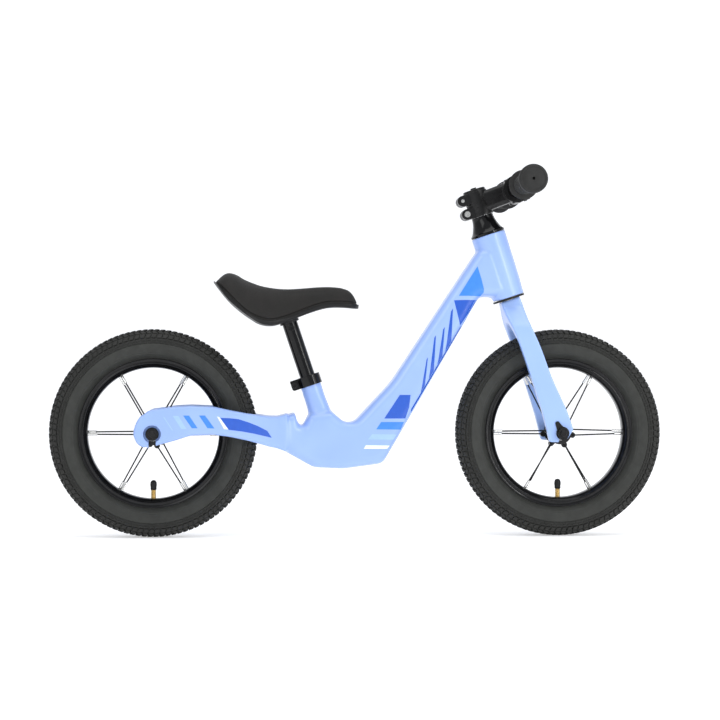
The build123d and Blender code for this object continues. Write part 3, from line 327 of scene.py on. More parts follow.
def piece_from(name, points, faces):
    """A closed piece whose faces look outwards."""
    mesh = mesh_from(name, points, faces)
    work = bmesh.new()
    work.from_mesh(mesh)
    bmesh.ops.recalc_face_normals(work, faces=work.faces)
    work.to_mesh(mesh)
    work.free()
    return placed(name, mesh)


def vertex_places(obj):
    """An object's vertices as rows of x, y and z in metres."""
    places = np.zeros(len(obj.data.vertices) * 3)
    obj.data.vertices.foreach_get("co", places)
    return places.reshape(-1, 3)


def rings(loops, closed_along):
    """Faces that join closed loops of points with the same count, as indices."""
    count = len(loops[0])
    faces = []
    last = len(loops) if closed_along else len(loops) - 1
    for i in range(last):
        j = (i + 1) % len(loops)
        for k in range(count):
            m = (k + 1) % count
            faces.append((i * count + k, i * count + m, j * count + m, j * count + k))
    return faces


def square_to(axis):
    """Two directions square to an axis and to each other."""
    axis = axis.normalized()
    side = ACROSS if abs(axis.dot(ACROSS)) < 0.9 else Vector((1, 0, 0))
    first = (side - axis * side.dot(axis)).normalized()
    return first, axis.cross(first)


def turned(name, outline, origin, axis, steps=96, ripple=None):
    """A closed outline of (radius, along) in millimetres turned round an axis. An outline
    that starts and ends at radius 0 makes a solid, any other a ring. ripple(angle, radius,
    along) may change a radius."""
    solid = outline[0][0] == 0 and outline[-1][0] == 0
    first, second = square_to(axis)
    body = outline[1:-1] if solid else outline
    angles = [2 * math.pi * k / steps for k in range(steps)]
    spin = [first * math.cos(a) + second * math.sin(a) for a in angles]
    points = []
    for radius, along in body:
        base = origin + axis * along * MM
        for a, way in zip(angles, spin):
            reach = ripple(a, radius, along) if ripple else radius
            points.append(base + way * reach * MM)
    faces = rings([angles] * len(body), closed_along=not solid)
    if solid:
        for end, start_at in ((outline[0], 0), (outline[-1], (len(body) - 1) * steps)):
            points.append(origin + axis * end[1] * MM)
            pole = len(points) - 1
            faces += [(start_at + k, start_at + (k + 1) % steps, pole) for k in range(steps)]
    return piece_from(name, points, faces)


def through(points, count, closed=False):
    """Points evenly spread along a smooth curve through some points of any dimension."""
    base = np.array(points, float)
    if closed:
        base = np.vstack([base[-1], base, base[0], base[1]])
    else:
        base = np.vstack([2 * base[0] - base[1], base, 2 * base[-1] - base[-2]])
    fine = []
    for a, b, c, d in zip(base, base[1:], base[2:], base[3:]):
        knots = [0.0]
        for p, q in ((a, b), (b, c), (c, d)):
            knots.append(knots[-1] + max(np.linalg.norm(q - p), 1e-9) ** 0.5)
        t0, t1, t2, t3 = knots
        for t in np.linspace(t1, t2, 24, endpoint=False):
            p1 = a * (t1 - t) / (t1 - t0) + b * (t - t0) / (t1 - t0)
            p2 = b * (t2 - t) / (t2 - t1) + c * (t - t1) / (t2 - t1)
            p3 = c * (t3 - t) / (t3 - t2) + d * (t - t2) / (t3 - t2)
            q1 = p1 * (t2 - t) / (t2 - t0) + p2 * (t - t0) / (t2 - t0)
            q2 = p2 * (t3 - t) / (t3 - t1) + p3 * (t - t1) / (t3 - t1)
            fine.append(q1 * (t2 - t) / (t2 - t1) + q2 * (t - t1) / (t2 - t1))
    fine = np.array(fine + [base[-2]])
    steps = np.r_[0, np.cumsum(np.linalg.norm(np.diff(fine, axis=0), axis=1))]
    wanted = np.linspace(0, steps[-1], count + 1 if closed else count)
    if closed:
        wanted = wanted[:-1]
    return np.column_stack([np.interp(wanted, steps, fine[:, i]) for i in range(fine.shape[1])])


def applied(obj):
    """Applies a piece's modifiers to its mesh."""
    bpy.context.view_layer.update()
    seen = obj.evaluated_get(bpy.context.evaluated_depsgraph_get())
    mesh = bpy.data.meshes.new_from_object(seen)
    obj.modifiers.clear()
    obj.data = mesh
    return obj


def soften(obj, name, passes, group=""):
    """Smooths a piece's vertices, all of them or those of a group."""
    smooth = obj.modifiers.new(name, "SMOOTH")
    smooth.iterations = passes
    smooth.factor = 0.5
    smooth.vertex_group = group


def cast_copy(node, name, voxel, passes, blends=(), blend_passes=0, joined=()):
    """A CAD node's shape remeshed and smoothed, so its edges are rounded as on a casting.
    Round each blend, a (point, radius), it is smoothed further, which makes a fillet.
    The joined pieces become one with it."""
    work = bmesh.new()
    work.from_mesh(frame["nodes"][node].data)
    for extra in joined:
        work.from_mesh(extra.data)
        bpy.data.objects.remove(extra)
    bmesh.ops.remove_doubles(work, verts=work.verts, dist=0.00001)
    mesh = bpy.data.meshes.new(name)
    work.to_mesh(mesh)
    work.free()
    obj = placed(name, mesh)
    remesh = obj.modifiers.new("remesh", "REMESH")
    remesh.mode = "VOXEL"
    remesh.voxel_size = voxel * MM
    soften(obj, "soften", passes)
    applied(obj)
    if blends:
        group = obj.vertex_groups.new(name="fillet")
        places = vertex_places(obj)
        weight = np.zeros(len(places))
        for point, radius in blends:
            gap = np.linalg.norm(places - np.array(point), axis=1) / radius
            # full strength to three quarters of the radius, none past 1.15 of it
            weight = np.maximum(weight, np.clip((1.15 - gap) * 2.5, 0, 1))
        for index in np.nonzero(weight)[0]:
            group.add([int(index)], float(weight[index]), "REPLACE")
        soften(obj, "fillet", blend_passes, "fillet")
        applied(obj)
    return obj


def seen_at(x, z, y=0.0):
    """A place in the row frame from side-view millimetres."""
    return Vector((x * MM, y * MM, z * MM))


# ======================= Frame and fork castings =======================

FAIRING_POINTS = 64
FAIRING_SQUARENESS = 0.45   # 1 makes an ellipse, near 0 a box
TAIL_CORE = 15.0            # metal this near the axle keeps its place, millimetres
TAIL_LIMIT = 45.0
ARM_INNER_FACE = 36.0
TAIL_STEP = 3               # degrees
SEAT_BORE_RADIUS = 11.45
SEAT_TRAVEL = 44.0


def arm_fairing():
    """The raised shoulder that carries the rear arms into the body: it widens and rises to
    a short peak behind the seat tube, then drops to the body's top."""
    # place along the bike, half width, bottom, top
    stations = [(-119, 31.5, 130.0, 171.6), (-110, 32.0, 127.0, 173.6), (-101, 31.0, 125.0, 176.4),
                (-94, 29.2, 123.5, 178.9), (-91, 28.4, 123.0, 179.4), (-89.2, 28.0, 122.6, 177.0),
                (-87, 27.4, 122.2, 168.5), (-84, 26.8, 121.8, 163.0), (-77, 25.6, 121.0, 160.0),
                (-66, 24.0, 120.5, 158.0)]
    points, loops = [], []
    for x, half, low, high in stations:
        tall = (high - low) / 2
        for k in range(FAIRING_POINTS):
            turn = 2 * math.pi * k / FAIRING_POINTS
            c, s = math.cos(turn), math.sin(turn)
            y = half * math.copysign(abs(c) ** FAIRING_SQUARENESS, c)
            z = (low + high) / 2 + tall * math.copysign(abs(s) ** FAIRING_SQUARENESS, s)
            points.append(seen_at(x, z, y))
        loops.append(range(FAIRING_POINTS))
    faces = rings(loops, closed_along=False)
    faces += [tuple(loops[0]), tuple(range(len(points) - FAIRING_POINTS, len(points)))]
    return piece_from("arm_fairing", points, faces)


def round_tail(obj):
    """Draws the arms' ends behind the axle in to a round outline about it."""
    # angle from forwards through upwards, in degrees, and how far out the edge lies
    edge = [(90, 34.0), (105, 31.4), (124, 30.1), (143, 28.6), (173, 26.6), (185, 26.5),
            (201, 25.4), (218, 24.6), (235, 23.0), (251, 19.4)]
    first, last = edge[0][0], edge[-1][0]
    centre = wheel_centre["rear"] / MM
    places = vertex_places(obj) / MM
    side = places[:, 0] - centre.x
    rise = places[:, 2] - centre.z
    turn = np.degrees(np.arctan2(rise, side)) % 360
    out = np.hypot(side, rise)
    chosen = (np.abs(places[:, 1]) > ARM_INNER_FACE) & (turn > first) & (turn < last)
    chosen &= (out > TAIL_CORE) & (out < TAIL_LIMIT)
    step = np.round(turn / TAIL_STEP).astype(int)
    for one in np.unique(step[chosen]):
        near = chosen & (np.abs(step - one) <= 1)
        here = chosen & (step == one)
        was = out[near].max()
        angle = one * TAIL_STEP
        wanted = np.interp(angle, [a for a, r in edge], [r for a, r in edge])
        fade = np.clip((angle - first) / 20, 0, 1)
        scale = 1 + fade * ((wanted - TAIL_CORE) / (was - TAIL_CORE) - 1)
        moved = TAIL_CORE + (out[here] - TAIL_CORE) * scale
        places[here, 0] = centre.x + side[here] / out[here] * moved
        places[here, 2] = centre.z + rise[here] / out[here] * moved
    obj.data.vertices.foreach_set("co", (places * MM).ravel())
    obj.data.update()


def clear_bore(obj):
    """Opens the seat tube's bore to its full width, so the post slides in all the way."""
    radius = SEAT_BORE_RADIUS * MM
    low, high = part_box("seat_post")
    on_axis = (low + high) / 2
    # the post's foot in its lowest place, measured along the axis from its middle
    half = ((high.z - low.z) / 2) / seat_up.z
    for vertex in obj.data.vertices:
        offset = vertex.co - on_axis
        along = offset.dot(seat_up)
        out = offset - seat_up * along
        if -half - SEAT_TRAVEL * MM < along < half and 1e-6 < out.length < radius:
            vertex.co = on_axis + seat_up * along + out.normalized() * radius


def fillets(*spots):
    """Blends from (x, z, y, radius) in millimetres, each on both sides of the bike."""
    return [(seen_at(x, z, side), radius * MM) for x, z, y, radius in spots
            for side in sorted({y, -y}, reverse=True)]


frame_blends = fillets((168, 385, 0, 34), (176, 345, 0, 34), (150, 372, 0, 26),
                       (-52, 183, 0, 27), (-70, 172, 0, 20), (-100, 146, 32, 22),
                       (-100, 128, 28, 22), (-78, 148, 26, 18), (-84, 126, 26, 20))
frame_casting = cast_copy("frame", "frame_casting", 1.3, 3, frame_blends, 70,
                          joined=[arm_fairing()])
round_tail(frame_casting)
clear_bore(frame_casting)
settle(frame_casting, frame_paint, "frame", ["frame"], sharp=50)

fork_blends = fillets((218, 322, 0, 30), (226, 316, 30, 30), (232, 296, 42, 24))
fork_casting = cast_copy("fork", "fork_casting", 1.1, 4, fork_blends, 60)
settle(fork_casting, fork_paint, "fork", ["fork"], sharp=50)

stem = cast_copy("stem_body", "stem_forging", 0.6, 4)
settle(stem, satin_alloy, "fork", ["stem_body"], sharp=50)
faceplate = cast_copy("stem_faceplate", "stem_faceplate_forging", 0.6, 3)
settle(faceplate, satin_alloy, "fork", ["stem_faceplate"], sharp=50)


# ======================= Printed shapes on the paint =======================

FILM_PROUD, FILM_SUNK = 0.14, 0.5   # how far a print's faces lie out of and in the paint
PRINT_CELL = 2.0
BELLY_HALF_WIDTH = 12.0

frame_surface = BVHTree.FromObject(frame_casting, bpy.context.evaluated_depsgraph_get())


def printed(name, corners, material):
    """A thin printed shape laid on the frame, from its corners in side view. One closed
    film on each side of the bike."""
    points, faces = [], []
    for side in (-1, 1):
        work = bmesh.new()
        flat = [work.verts.new((x * MM, 0, z * MM)) for x, z in corners]
        work.faces.new(flat)
        xs = [x for x, z in corners]
        zs = [z for x, z in corners]
        for low, high, way in ((min(xs), max(xs), Vector((1, 0, 0))), (min(zs), max(zs), UP)):
            for place in np.arange(low + PRINT_CELL, high - 0.2, PRINT_CELL):
                parts = work.verts[:] + work.edges[:] + work.faces[:]
                bmesh.ops.bisect_plane(work, geom=parts, plane_co=way * place * MM, plane_no=way)
        bmesh.ops.triangulate(work, faces=work.faces)
        work.verts.ensure_lookup_table()
        outer, inner = [], []
        for v in work.verts:
            origin = Vector((v.co.x, side * cad_box[1][1], v.co.z))
            hit, normal, index, distance = frame_surface.ray_cast(origin, ACROSS * -side)
            if hit is None:
                hit = Vector((v.co.x, side * BELLY_HALF_WIDTH * MM, v.co.z))
                normal = ACROSS * side
            outer.append(hit + normal * FILM_PROUD * MM)
            inner.append(hit - normal * FILM_SUNK * MM)
        base = len(points)
        count = len(outer)
        points += outer + inner
        for face in work.faces:
            ids = [v.index for v in face.verts]
            faces.append([base + i for i in ids])
            faces.append([base + count + i for i in reversed(ids)])
        for edge in work.edges:
            if edge.is_boundary:
                a, b = (v.index for v in edge.verts)
                faces.append([base + a, base + b, base + count + b, base + count + a])
        work.free()
    film = piece_from(name, points, faces)
    return settle(film, material, "frame", sharp=60)


def tube_shape(*corners):
    """Corners on the down tube: how far down it, and how far up from its lower edge, both
    from 0 to 1, as side-view millimetres."""
    top, low_top = np.array((161.5, 392)), np.array((171, 334))
    bottom, low_bottom = np.array((54, 229)), np.array((57.5, 142))
    shape = []
    for down, up in corners:
        lower = low_top + (low_bottom - low_top) * down
        upper = top + (bottom - top) * down
        shape.append(tuple(lower + (upper - lower) * up))
    return shape


arm_prints = [
    ("arm_print_block_rear", film_mid,
     [(-249.5, 176.5), (-241, 176.5), (-229, 158.5), (-237, 158.5)]),
    ("arm_print_block_front", film_mid,
     [(-227, 176.5), (-218.5, 176.5), (-205, 158), (-215, 158.5)]),
    ("arm_print_slash", film_white,
     [(-201.5, 175), (-198, 174), (-185.5, 156.5), (-191.5, 157)]),
    ("arm_print_sweep", film_dark,
     [(-197, 173), (-184, 172.5), (-171, 171), (-157, 166.5), (-143.5, 161),
      (-130, 154), (-123.5, 144), (-148, 150), (-166, 153.5), (-185, 156)]),
    ("arm_print_faint_line", film_lilac,
     [(-277.5, 174.5), (-276, 174.5), (-263.5, 155.5), (-265, 155.5)]),
    ("arm_print_faint_block", film_lilac,
     [(-264, 176), (-256, 176), (-244.5, 157.5), (-252, 157.5)]),
]
tube_prints = [
    ("tube_print_top", film_mid,
     [(173.5, 390.5), (179, 373), (183, 357.5), (182.5, 352.5), (177.5, 347.5),
      (160, 348), (146.5, 348), (160, 369.5)]),
    ("tube_print_wedge", film_dark,
     [(139.5, 341.5), (156, 342), (173.5, 342), (161.5, 324), (148.5, 305.5),
      (144, 323.5)]),
    ("tube_print_foot", film_dark,
     [(38.5, 171), (69, 171), (74.5, 187), (76.5, 205), (61, 205)]),
    ("tube_print_band", film_mid, [(34, 166), (67, 166), (62.5, 155), (27, 155.5)]),
    ("tube_print_faint_band", film_lilac,
     [(21, 148.5), (57, 148), (51.5, 140.5), (15, 141)]),
    ("tube_print_white_band", film_white,
     [(12, 132.5), (46.5, 132), (43, 127.5), (9, 127.5)]),
    ("tube_print_edge", film_dark,
     tube_shape((0.17, 0.045), (0.50, 0.045), (0.82, 0.045), (0.82, 0.095), (0.50, 0.085),
                (0.19, 0.085))),
]
for number, (down, length, rise) in enumerate(((0.305, 0.075, 0.66), (0.420, 0.062, 0.56),
                                               (0.530, 0.062, 0.66), (0.645, 0.050, 0.50))):
    tube_prints.append((f"tube_print_slash_{number + 1}", film_dark,
                        tube_shape((down, 0.10), (down + length, 0.10),
                                   (down + length * 0.35 - 0.06, rise), (down - 0.06, rise))))
for name, film, corners in arm_prints + tube_prints:
    printed(name, corners, film)


# ======================= Tyres =======================

tyre_side = [(150.0, 0.0), (149.7, 5.0), (148.5, 10.0), (146.0, 15.6), (141.8, 21.0),
             (135.5, 24.4), (127.7, 25.0), (120.0, 23.0), (113.1, 19.3), (108.3, 13.6)]
tyre_curve = through(tyre_side, 400)
tyre_steps = np.r_[0, np.cumsum(np.linalg.norm(np.diff(tyre_curve, axis=0), axis=1))]
tyre_tangent = np.gradient(tyre_curve, axis=0)
tyre_tangent /= np.linalg.norm(tyre_tangent, axis=1)[:, None]
BLOCKS_ROUND = 108
CARCASS_DROP = 0.35   # the carcass lies this much under the outline, and blocks root in it


def on_tyre(along, depth):
    """(radius, half width) at a distance along the tyre's section from its crown, depth
    millimetres under its outer surface. A negative distance is the other side."""
    far = abs(along)
    radius = np.interp(far, tyre_steps, tyre_curve[:, 0])
    wide = np.interp(far, tyre_steps, tyre_curve[:, 1])
    down = np.interp(far, tyre_steps, tyre_tangent[:, 0])
    out = np.interp(far, tyre_steps, tyre_tangent[:, 1])
    radius, wide = radius - out * depth, wide + down * depth
    return radius, math.copysign(wide, along) if along else 0.0


def carcass_depth(along):
    """How far the rubber between the blocks lies under the blocks' tops."""
    return float(np.interp(abs(along), [0, 28.6, 29.2, 36.4, 37.2, 60],
                           [1.9, 1.9, 1.1, 1.1, 0.0, 0.0]))


def tyre_point(centre, angle, along, depth):
    radius, wide = on_tyre(along, depth)
    return centre + Vector((math.cos(angle) * radius, wide, math.sin(angle) * radius)) * MM


# Each row: from and to along the section, how far the block's end is turned on from its
# start, the share of the pitch it fills, where it starts in the pitch, and its height.
block_rows = [
    (-3.8, 3.8, 0.0, 0.58, 0.0, 2.3),
    (5.2, 11.8, 0.30, 0.60, 0.12, 2.2),
    (13.2, 20.0, -0.30, 0.70, 0.55, 1.9),
    (21.2, 28.0, 0.30, 0.72, 0.25, 1.8),
    (29.8, 32.4, 0.0, 0.80, 0.4, 1.0),
    (33.8, 36.0, 0.0, 0.80, 0.0, 1.0),
]


def tread_blocks(name, centre):
    """Raised tread blocks in rows, the outer ones mirrored on both sides."""
    points, faces = [], []
    pitch = 2 * math.pi / BLOCKS_ROUND
    mirrored = [(-a, -b, *rest) for a, b, *rest in block_rows[1:]]
    for first, last, skew, fill, phase, high in block_rows + mirrored:
        cuts = 3 if abs(last - first) > 4 else 1
        way = 1 if last > first else -1
        for n in range(BLOCKS_ROUND):
            base = len(points)
            for depth, inset in ((high + CARCASS_DROP, 0.0), (CARCASS_DROP, 0.0),
                                 (0.0, CARCASS_DROP)):
                for i in range(cuts + 1):
                    share = i / cuts
                    edge = inset * way * (1 if i == 0 else -1 if i == cuts else 0)
                    along = first + (last - first) * share + edge
                    lean = (n + phase + skew * share) * pitch
                    radius = on_tyre(along, depth)[0]
                    trim = inset / radius
                    for angle in (lean + trim, lean + fill * pitch - trim):
                        points.append(tyre_point(centre, angle, along, depth))
            row = 2 * (cuts + 1)
            top = base + 2 * row
            for i in range(cuts):
                a = top + 2 * i
                faces.append((a, a + 1, a + 3, a + 2))
                b = base + 2 * i
                faces.append((b, b + 2, b + 3, b + 1))
            for level in (0, 1):
                low = base + level * row
                high_at = low + row
                for i in range(cuts):
                    for s in (0, 1):
                        a, b = low + 2 * i + s, low + 2 * i + 2 + s
                        c, d = high_at + 2 * i + 2 + s, high_at + 2 * i + s
                        faces.append((a, b, c, d) if s else (d, c, b, a))
                for i in (0, cuts):
                    a, b = low + 2 * i, low + 2 * i + 1
                    c, d = high_at + 2 * i + 1, high_at + 2 * i
                    faces.append((d, c, b, a) if i else (a, b, c, d))
    return piece_from(name, points, faces)


def tyre_outline():
    """The carcass section: sunk under the tread, with moulded rings on the sidewall."""
    raised = [(38.2, 0.30), (50.0, 0.35), (53.0, 0.35)]
    half = []
    for along in np.linspace(0, tyre_steps[-1], 100):
        rise = sum(high * math.exp(-((along - place) / 0.6) ** 2) for place, high in raised)
        half.append(on_tyre(along, carcass_depth(along) + CARCASS_DROP - rise))
    inner = [(101.7, 13.2), (101.7, 9.4), (108.0, 9.4), (113.5, 15.2), (127.7, 22.0),
             (140.5, 18.0), (145.0, 0.0)]
    side = half + inner
    other = [(r, -w) for r, w in reversed(side[:-1]) if w != 0.0]
    return [(r, w) for r, w in side] + other


for end, centre in wheel_centre.items():
    body = f"{end}_wheel"
    carcass = turned(f"{end}_tyre_carcass", tyre_outline(), centre, ACROSS, steps=240)
    settle(carcass, wall_rubber, body, [f"{end}_tyre"], sharp=40)
    blocks = tread_blocks(f"{end}_tread_blocks", centre)
    settle(blocks, tread_rubber, body, sharp=30)


# ======================= Rims =======================

def rim_outline():
    """The rim's section: rounded flange lips, a plain side wall with a bead line under
    it, and a rounded inner face."""
    half = [(101.5, 13.5), (106.6, 13.5), (107.4, 13.9), (107.6, 14.5), (107.3, 15.1),
            (106.6, 15.35), (105.4, 15.3), (104.9, 14.9), (102.3, 14.6), (101.7, 14.9),
            (101.0, 15.25), (100.2, 15.2), (99.6, 14.7), (98.9, 13.9), (97.6, 12.9),
            (96.2, 11.6), (95.2, 10.1), (94.6, 8.6), (94.1, 6.4), (94.0, 3.0)]
    bed = [(96.4, 0.0), (96.4, 9.1), (100.9, 10.6), (101.5, 13.5)]
    side = bed[1:-1] + half
    return side + [(r, -w) for r, w in reversed(side)]


for end, centre in wheel_centre.items():
    rim = turned(f"{end}_rim_extrusion", rim_outline(), centre, ACROSS, steps=240)
    settle(rim, rim_alloy, f"{end}_wheel", [f"{end}_rim"], sharp=50)


# ======================= Valves =======================

for end in ("front", "rear"):
    low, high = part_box(f"{end}_valve_stem")
    foot = Vector(((low.x + high.x) / 2, 0, low.z))
    tall = (high.z - low.z) / MM
    threads = [(0, 0), (3.6, 0)]
    turns = np.arange(1.0, tall - 0.6, 0.9)
    for place in turns:
        threads += [(3.75, place), (3.35, place + 0.45)]
    threads += [(3.1, tall - 0.2), (0, tall)]
    stem_piece = turned(f"{end}_valve_thread", threads, foot, UP, steps=32)
    settle(stem_piece, brass, f"{end}_wheel", [f"{end}_valve_stem"], sharp=60)
    low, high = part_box(f"{end}_valve_cap")
    foot = Vector(((low.x + high.x) / 2, 0, low.z))
    tall = (high.z - low.z) / MM
    wide = (high.x - low.x) / 2 / MM
    shape = [(0, 0.6), (wide * 0.8, 0.2), (wide * 0.92, 0.8), (wide * 0.92, tall * 0.32),
             (wide * 0.98, tall * 0.42), (wide, tall * 0.55), (wide * 0.96, tall * 0.72),
             (wide * 0.78, tall * 0.88), (wide * 0.45, tall * 0.97), (0, tall)]

    def flutes(angle, radius, along):
        return radius - 0.22 * max(0.0, math.cos(angle * 16)) if along < tall * 0.5 else radius

    cap = turned(f"{end}_valve_dust_cap", shape, foot, UP, steps=96, ripple=flutes)
    settle(cap, cap_plastic, f"{end}_wheel", [f"{end}_valve_cap"], sharp=50)


# ======================= Grips =======================

def grip_outline():
    """From the inner flange to the end cap: (radius, distance from the inner end)."""
    shape = [(11.2, 0.0), (19.6, 0.0), (20.7, 0.5), (21.0, 1.6), (21.0, 2.6), (20.6, 3.6),
             (19.2, 4.0), (15.4, 4.3), (14.6, 5.4)]
    place = 7.0
    while place < 90.0:
        shape += [(13.7, place), (13.7, place + 0.9), (14.5, place + 1.3), (14.5, place + 3.0)]
        place += 3.4
    shape += [(14.4, 92.4), (15.2, 93.6), (18.2, 94.0), (19.5, 94.6), (20.0, 96.0),
              (20.0, 102.2), (19.6, 103.8), (18.4, 104.8), (16.6, 105.0), (15.9, 104.5),
              (15.3, 104.5), (14.7, 105.0), (3.0, 105.0), (2.0, 104.6), (1.9, 100.4),
              (11.2, 100.2)]
    return shape


for side, name in ((1, "left"), (-1, "right")):
    low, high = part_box(f"grip_{name}")
    inner_end = low.y if side > 0 else high.y
    origin = Vector(((low.x + high.x) / 2, inner_end, (low.z + high.z) / 2))
    grip = turned(f"handlebar_grip_{name}", grip_outline(), origin, ACROSS * side, steps=96)
    settle(grip, grip_rubber, "handlebar", [f"grip_{name}"], sharp=40)


# ======================= Saddle =======================

pad_low, pad_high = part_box("saddle_pad")
saddle_x = (pad_low.x + pad_high.x) / 2 / MM + 5.0
saddle_z = pad_high.z / MM - 72.1

saddle_top = [(-109, 59), (-105.5, 64.5), (-97.4, 70), (-87, 72.1), (-77, 69.5), (-66.5, 63.3),
              (-54, 58.0), (-41.4, 53.7), (-22, 50.2), (-4.5, 49.1), (18, 50.2), (40, 52),
              (60, 52.3), (77, 50.2), (89, 44.8), (96.5, 37.4), (99, 26)]
saddle_seam = [(-109, 59), (-92.7, 43.3), (-63.5, 15), (-46, 5.6), (-27, 2.3), (-9, 6.0),
               (9.5, 12.9), (31, 21.3), (53.5, 27.5), (77, 28.0), (99, 26)]
saddle_under = [(-109, 56.8), (-85, 28.5), (-56, 5.7), (-42, -1.9), (-26, -3.9), (-7, 1.0),
                (13, 8.7), (34, 16.5), (54.7, 22.1), (77, 22.8), (99, 20.6)]
saddle_plan = [(99.2, 0), (97.0, 9.5), (90, 17.6), (80, 21.2), (60, 24.4), (38, 28.2),
               (14, 31.4), (-10, 36.4), (-30, 45.2), (-50, 56.8), (-68, 64.2), (-83, 66.0),
               (-96, 60.5), (-105, 46.0), (-108.5, 28.0), (-109, 10.0)]
RIM_POINTS = 200
SPINE_BACK, SPINE_FRONT = -88.0, 84.0
WELT_ZONE = 6.0     # height of the steep lowest part of the pad's side
LIP_INSET = 1.2


def height(points):
    """A smooth height above the post's top, as a function of the place along the saddle."""
    fine = through(points, 400)
    order = np.argsort(fine[:, 0])
    return lambda x: np.interp(x, fine[order, 0], fine[order, 1])


top_at, seam_at, under_at = height(saddle_top), height(saddle_seam), height(saddle_under)
full_plan = saddle_plan + [(x, -w) for x, w in reversed(saddle_plan[1:])]
plan_rim = through(full_plan, RIM_POINTS, closed=True)


def saddle_point(x, y, z):
    return Vector(((x + saddle_x) * MM, y * MM, (z + saddle_z) * MM))


def plan_ring(share, grow=0.0):
    """The plan outline drawn in towards the saddle's middle line: share 0 is the rim and 1
    the middle line. grow moves the rim outwards, in millimetres."""
    ring = []
    count = len(plan_rim)
    for i, (x, y) in enumerate(plan_rim):
        before, after = plan_rim[i - 1], plan_rim[(i + 1) % count]
        run = after - before
        square = np.array([run[1], -run[0]]) / max(np.linalg.norm(run), 1e-9)
        if np.dot(square, np.array([x - min(max(x, -60), 60), y])) < 0:
            square = -square
        rx, ry = x + square[0] * grow, y + square[1] * grow
        spine = min(max(rx, SPINE_BACK), SPINE_FRONT)
        ring.append((rx + (spine - rx) * share, ry * (1 - share)))
    return ring


def way_in(level):
    """How far in from the rim the pad's crown reaches a share of its full height."""
    return 1 - (1 - level ** 2.2) ** (1 / 2.5)


def saddle_pad_piece():
    """The cushion: steep sides that curl over into a crown, and a pressed welt 3 mm above
    its lower edge."""
    # the lowest rings: height over the edge and how far the welt draws them in, millimetres
    welt = [(0.0, 0.3), (0.5, 0.0), (1.2, -0.2), (2.0, -0.1), (2.5, 0.5), (2.9, 1.1), (3.3, 0.5),
            (3.9, -0.2), (4.8, -0.2), (6.0, 0.0)]
    levels = [0.06, 0.13, 0.21, 0.30, 0.40, 0.50, 0.60, 0.70, 0.79, 0.87, 0.93, 0.97, 0.99, 1.0]
    rim = plan_ring(0.0)
    points, loops = [], []
    for ring in range(len(welt) + len(levels)):
        for x, y in rim:
            low = seam_at(x) + 0.3
            tall = max(top_at(x) - low, 0.5)
            lowest = min(WELT_ZONE, tall * 0.5)
            if ring < len(welt):
                rise, draw = welt[ring]
                level = min(rise / WELT_ZONE, 1.0) * lowest / tall
            else:
                share = levels[ring - len(welt)]
                level, draw = lowest / tall * (1 - share) + share, 0.0
            inwards = min(way_in(min(level, 1.0)), 0.97)
            spine = min(max(x, SPINE_BACK), SPINE_FRONT)
            step = Vector((spine - x, -y))
            # at the tail and the nose the pad stands further in from the base's lip
            draw += 0.4 + 2.2 * max(0.0, (abs(x) - 84.0) / 22.0)
            place = Vector((x, y)) + step * inwards + step.normalized() * draw
            low = seam_at(place.x) + 0.3
            height_here = max(top_at(place.x) - low, 0.5)
            points.append(saddle_point(place.x, place.y, low + height_here * min(level, 1.0)))
        loops.append(range(RIM_POINTS))
    for share in (0.97, 0.6, 0.2, 0.03):
        for x, y in plan_ring(share, grow=-0.6):
            points.append(saddle_point(x, y, seam_at(x) + 0.1))
        loops.append(range(RIM_POINTS))
    faces = rings(loops, closed_along=True)
    return piece_from("saddle_cushion", points, faces)


pad = saddle_pad_piece()
settle(pad, vinyl, "seat", ["saddle_pad"], sharp=80)


def saddle_shell_piece():
    """The moulded base: a rounded lip round the pad and a shallow dish under it."""
    # share of the way in, growth of the plan and height over the seam, millimetres
    upper = [(0.9, 0.0, -0.6), (0.4, 0.0, -0.6), (0.0, 0.9, -2.2), (0.0, 0.6, 0.2),
             (0.0, 0.9, 0.7), (0.0, 1.4, 0.8), (0.0, 1.9, 0.4), (0.0, 2.1, -0.4)]
    # the same, with the height over the underside
    lower = [(0.0, 1.6, 0.6), (0.0, 0.8, 0.1), (0.0, -0.6, 0.0), (0.05, 0.0, 0.4),
             (0.12, 0.0, 1.6), (0.4, 0.0, 2.2), (0.9, 0.0, 2.2)]
    points = []
    for share, grow, rise in upper:
        for x, y in plan_ring(share, grow=grow - LIP_INSET):
            points.append(saddle_point(x, y, seam_at(x) + rise))
    for share, grow, rise in lower:
        for x, y in plan_ring(share, grow=grow - LIP_INSET):
            points.append(saddle_point(x, y, min(under_at(x) + rise, seam_at(x) - 1.4)))
    loops = [range(RIM_POINTS)] * (len(upper) + len(lower))
    return piece_from("saddle_shell", points, rings(loops, closed_along=True))


shell = saddle_shell_piece()
settle(shell, shell_plastic, "seat", ["saddle_base"], sharp=60)

post_axis_top = Vector((saddle_x * MM, 0, saddle_z * MM))
spigot = [(0, -32.0), (8.6, -32.0), (9.0, -31.4), (9.0, -0.1), (13.6, 0.0), (14.1, 0.6),
          (14.1, 5.8), (15.2, 9.4), (18.5, 12.6), (18.5, 14.0), (0, 14.0)]
boss = turned("saddle_post_boss", spigot, post_axis_top, seat_up, steps=96)
settle(boss, shell_plastic, "seat", sharp=40)


# ======================= Floor, light and camera =======================

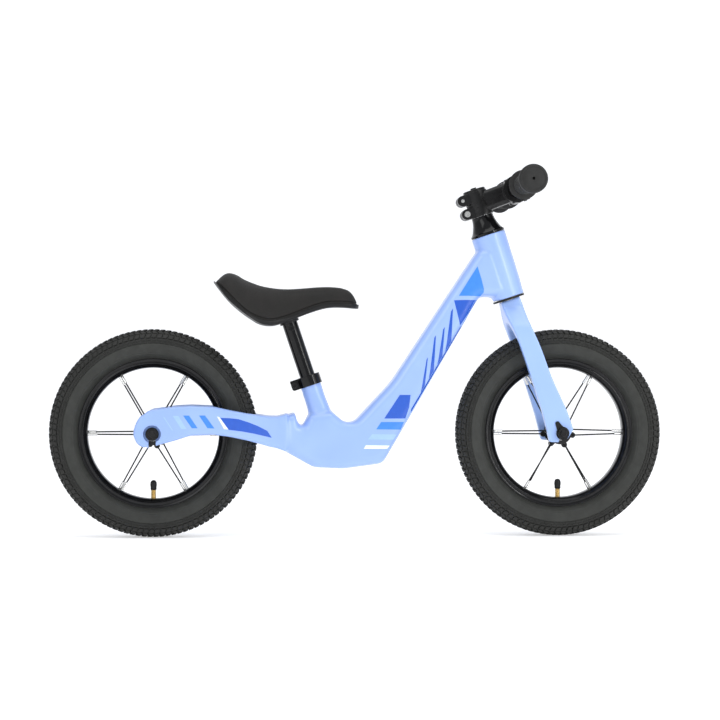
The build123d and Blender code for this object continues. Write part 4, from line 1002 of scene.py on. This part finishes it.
def studio_floor():
    """A broad plain floor that runs up into a plain wall far behind."""
    points, faces = [], []
    turn = [math.radians(a) for a in range(0, 91, 3)]
    smooth = [(-9.0, 0.0)] + [(5.0 + 3 * math.sin(a), 3 - 3 * math.cos(a)) for a in turn]
    smooth.append((8.0, 9.0))
    for y, z in smooth:
        points += [Vector((-12, y, z)), Vector((12, y, z))]
    for i in range(len(smooth) - 1):
        faces.append((2 * i, 2 * i + 1, 2 * i + 3, 2 * i + 2))
    sheet = placed("studio_floor", mesh_from("studio_floor", points, faces))
    sheet.data.shade_smooth()
    return sheet


floor = studio_floor()
# Matt card for a studio floor, lit a little from behind so that it stays near white.
paper, tree, shader, place = start("matt_backdrop_paper", Roughness=0.9,
                                   Emission_Color=colour("ffffff"), Emission_Strength=0.36)
fibre = spread(tree, grain(tree, place, 300, 2.0), 0.3, 0.7)
tree.links.new(blend(tree, fibre, colour("fbfbfb"), colour("f7f7f8")), shader.inputs["Base Color"])
dress(floor, paper)

bpy.context.scene.view_settings.view_transform = "Standard"

world = bpy.data.worlds.new("studio")
bpy.context.scene.world = world
world.use_nodes = True
sky = world.node_tree.nodes["Background"].inputs
sky["Color"].default_value = colour("f6f9ff")
sky["Strength"].default_value = 0.62


def soft_light(name, place, target, size, power):
    lamp = bpy.data.lights.new(name, "AREA")
    lamp.shape = "RECTANGLE"
    lamp.size, lamp.size_y = size
    lamp.energy = power
    obj = placed(name, lamp)
    obj.location = place
    obj.rotation_euler = (Vector(target) - Vector(place)).to_track_quat("-Z", "Y").to_euler()


soft_light("overhead_softbox", (0.1, -0.5, 2.6), (0, 0, 0.2), (2.6, 1.8), 30)
soft_light("front_softbox", (-1.6, -2.6, 1.5), (0, 0, 0.25), (1.6, 1.6), 17)
soft_light("right_softbox", (2.2, -1.8, 1.1), (0.1, 0, 0.25), (1.0, 1.8), 11)
soft_light("strip_light", (1.3, -1.5, 0.6), (0, 0, 0.3), (0.10, 1.4), 7)

camera_data = bpy.data.cameras.new("camera")
camera_data.lens = 103.35
camera_data.sensor_width = 36.0
camera = placed("camera", camera_data)
camera.location = (-0.1625, -2.9956, 0.2553)
camera.rotation_euler = Vector((0.0558, 0.9984, 0.0)).to_track_quat("-Z", "Y").to_euler()
bpy.context.scene.camera = camera
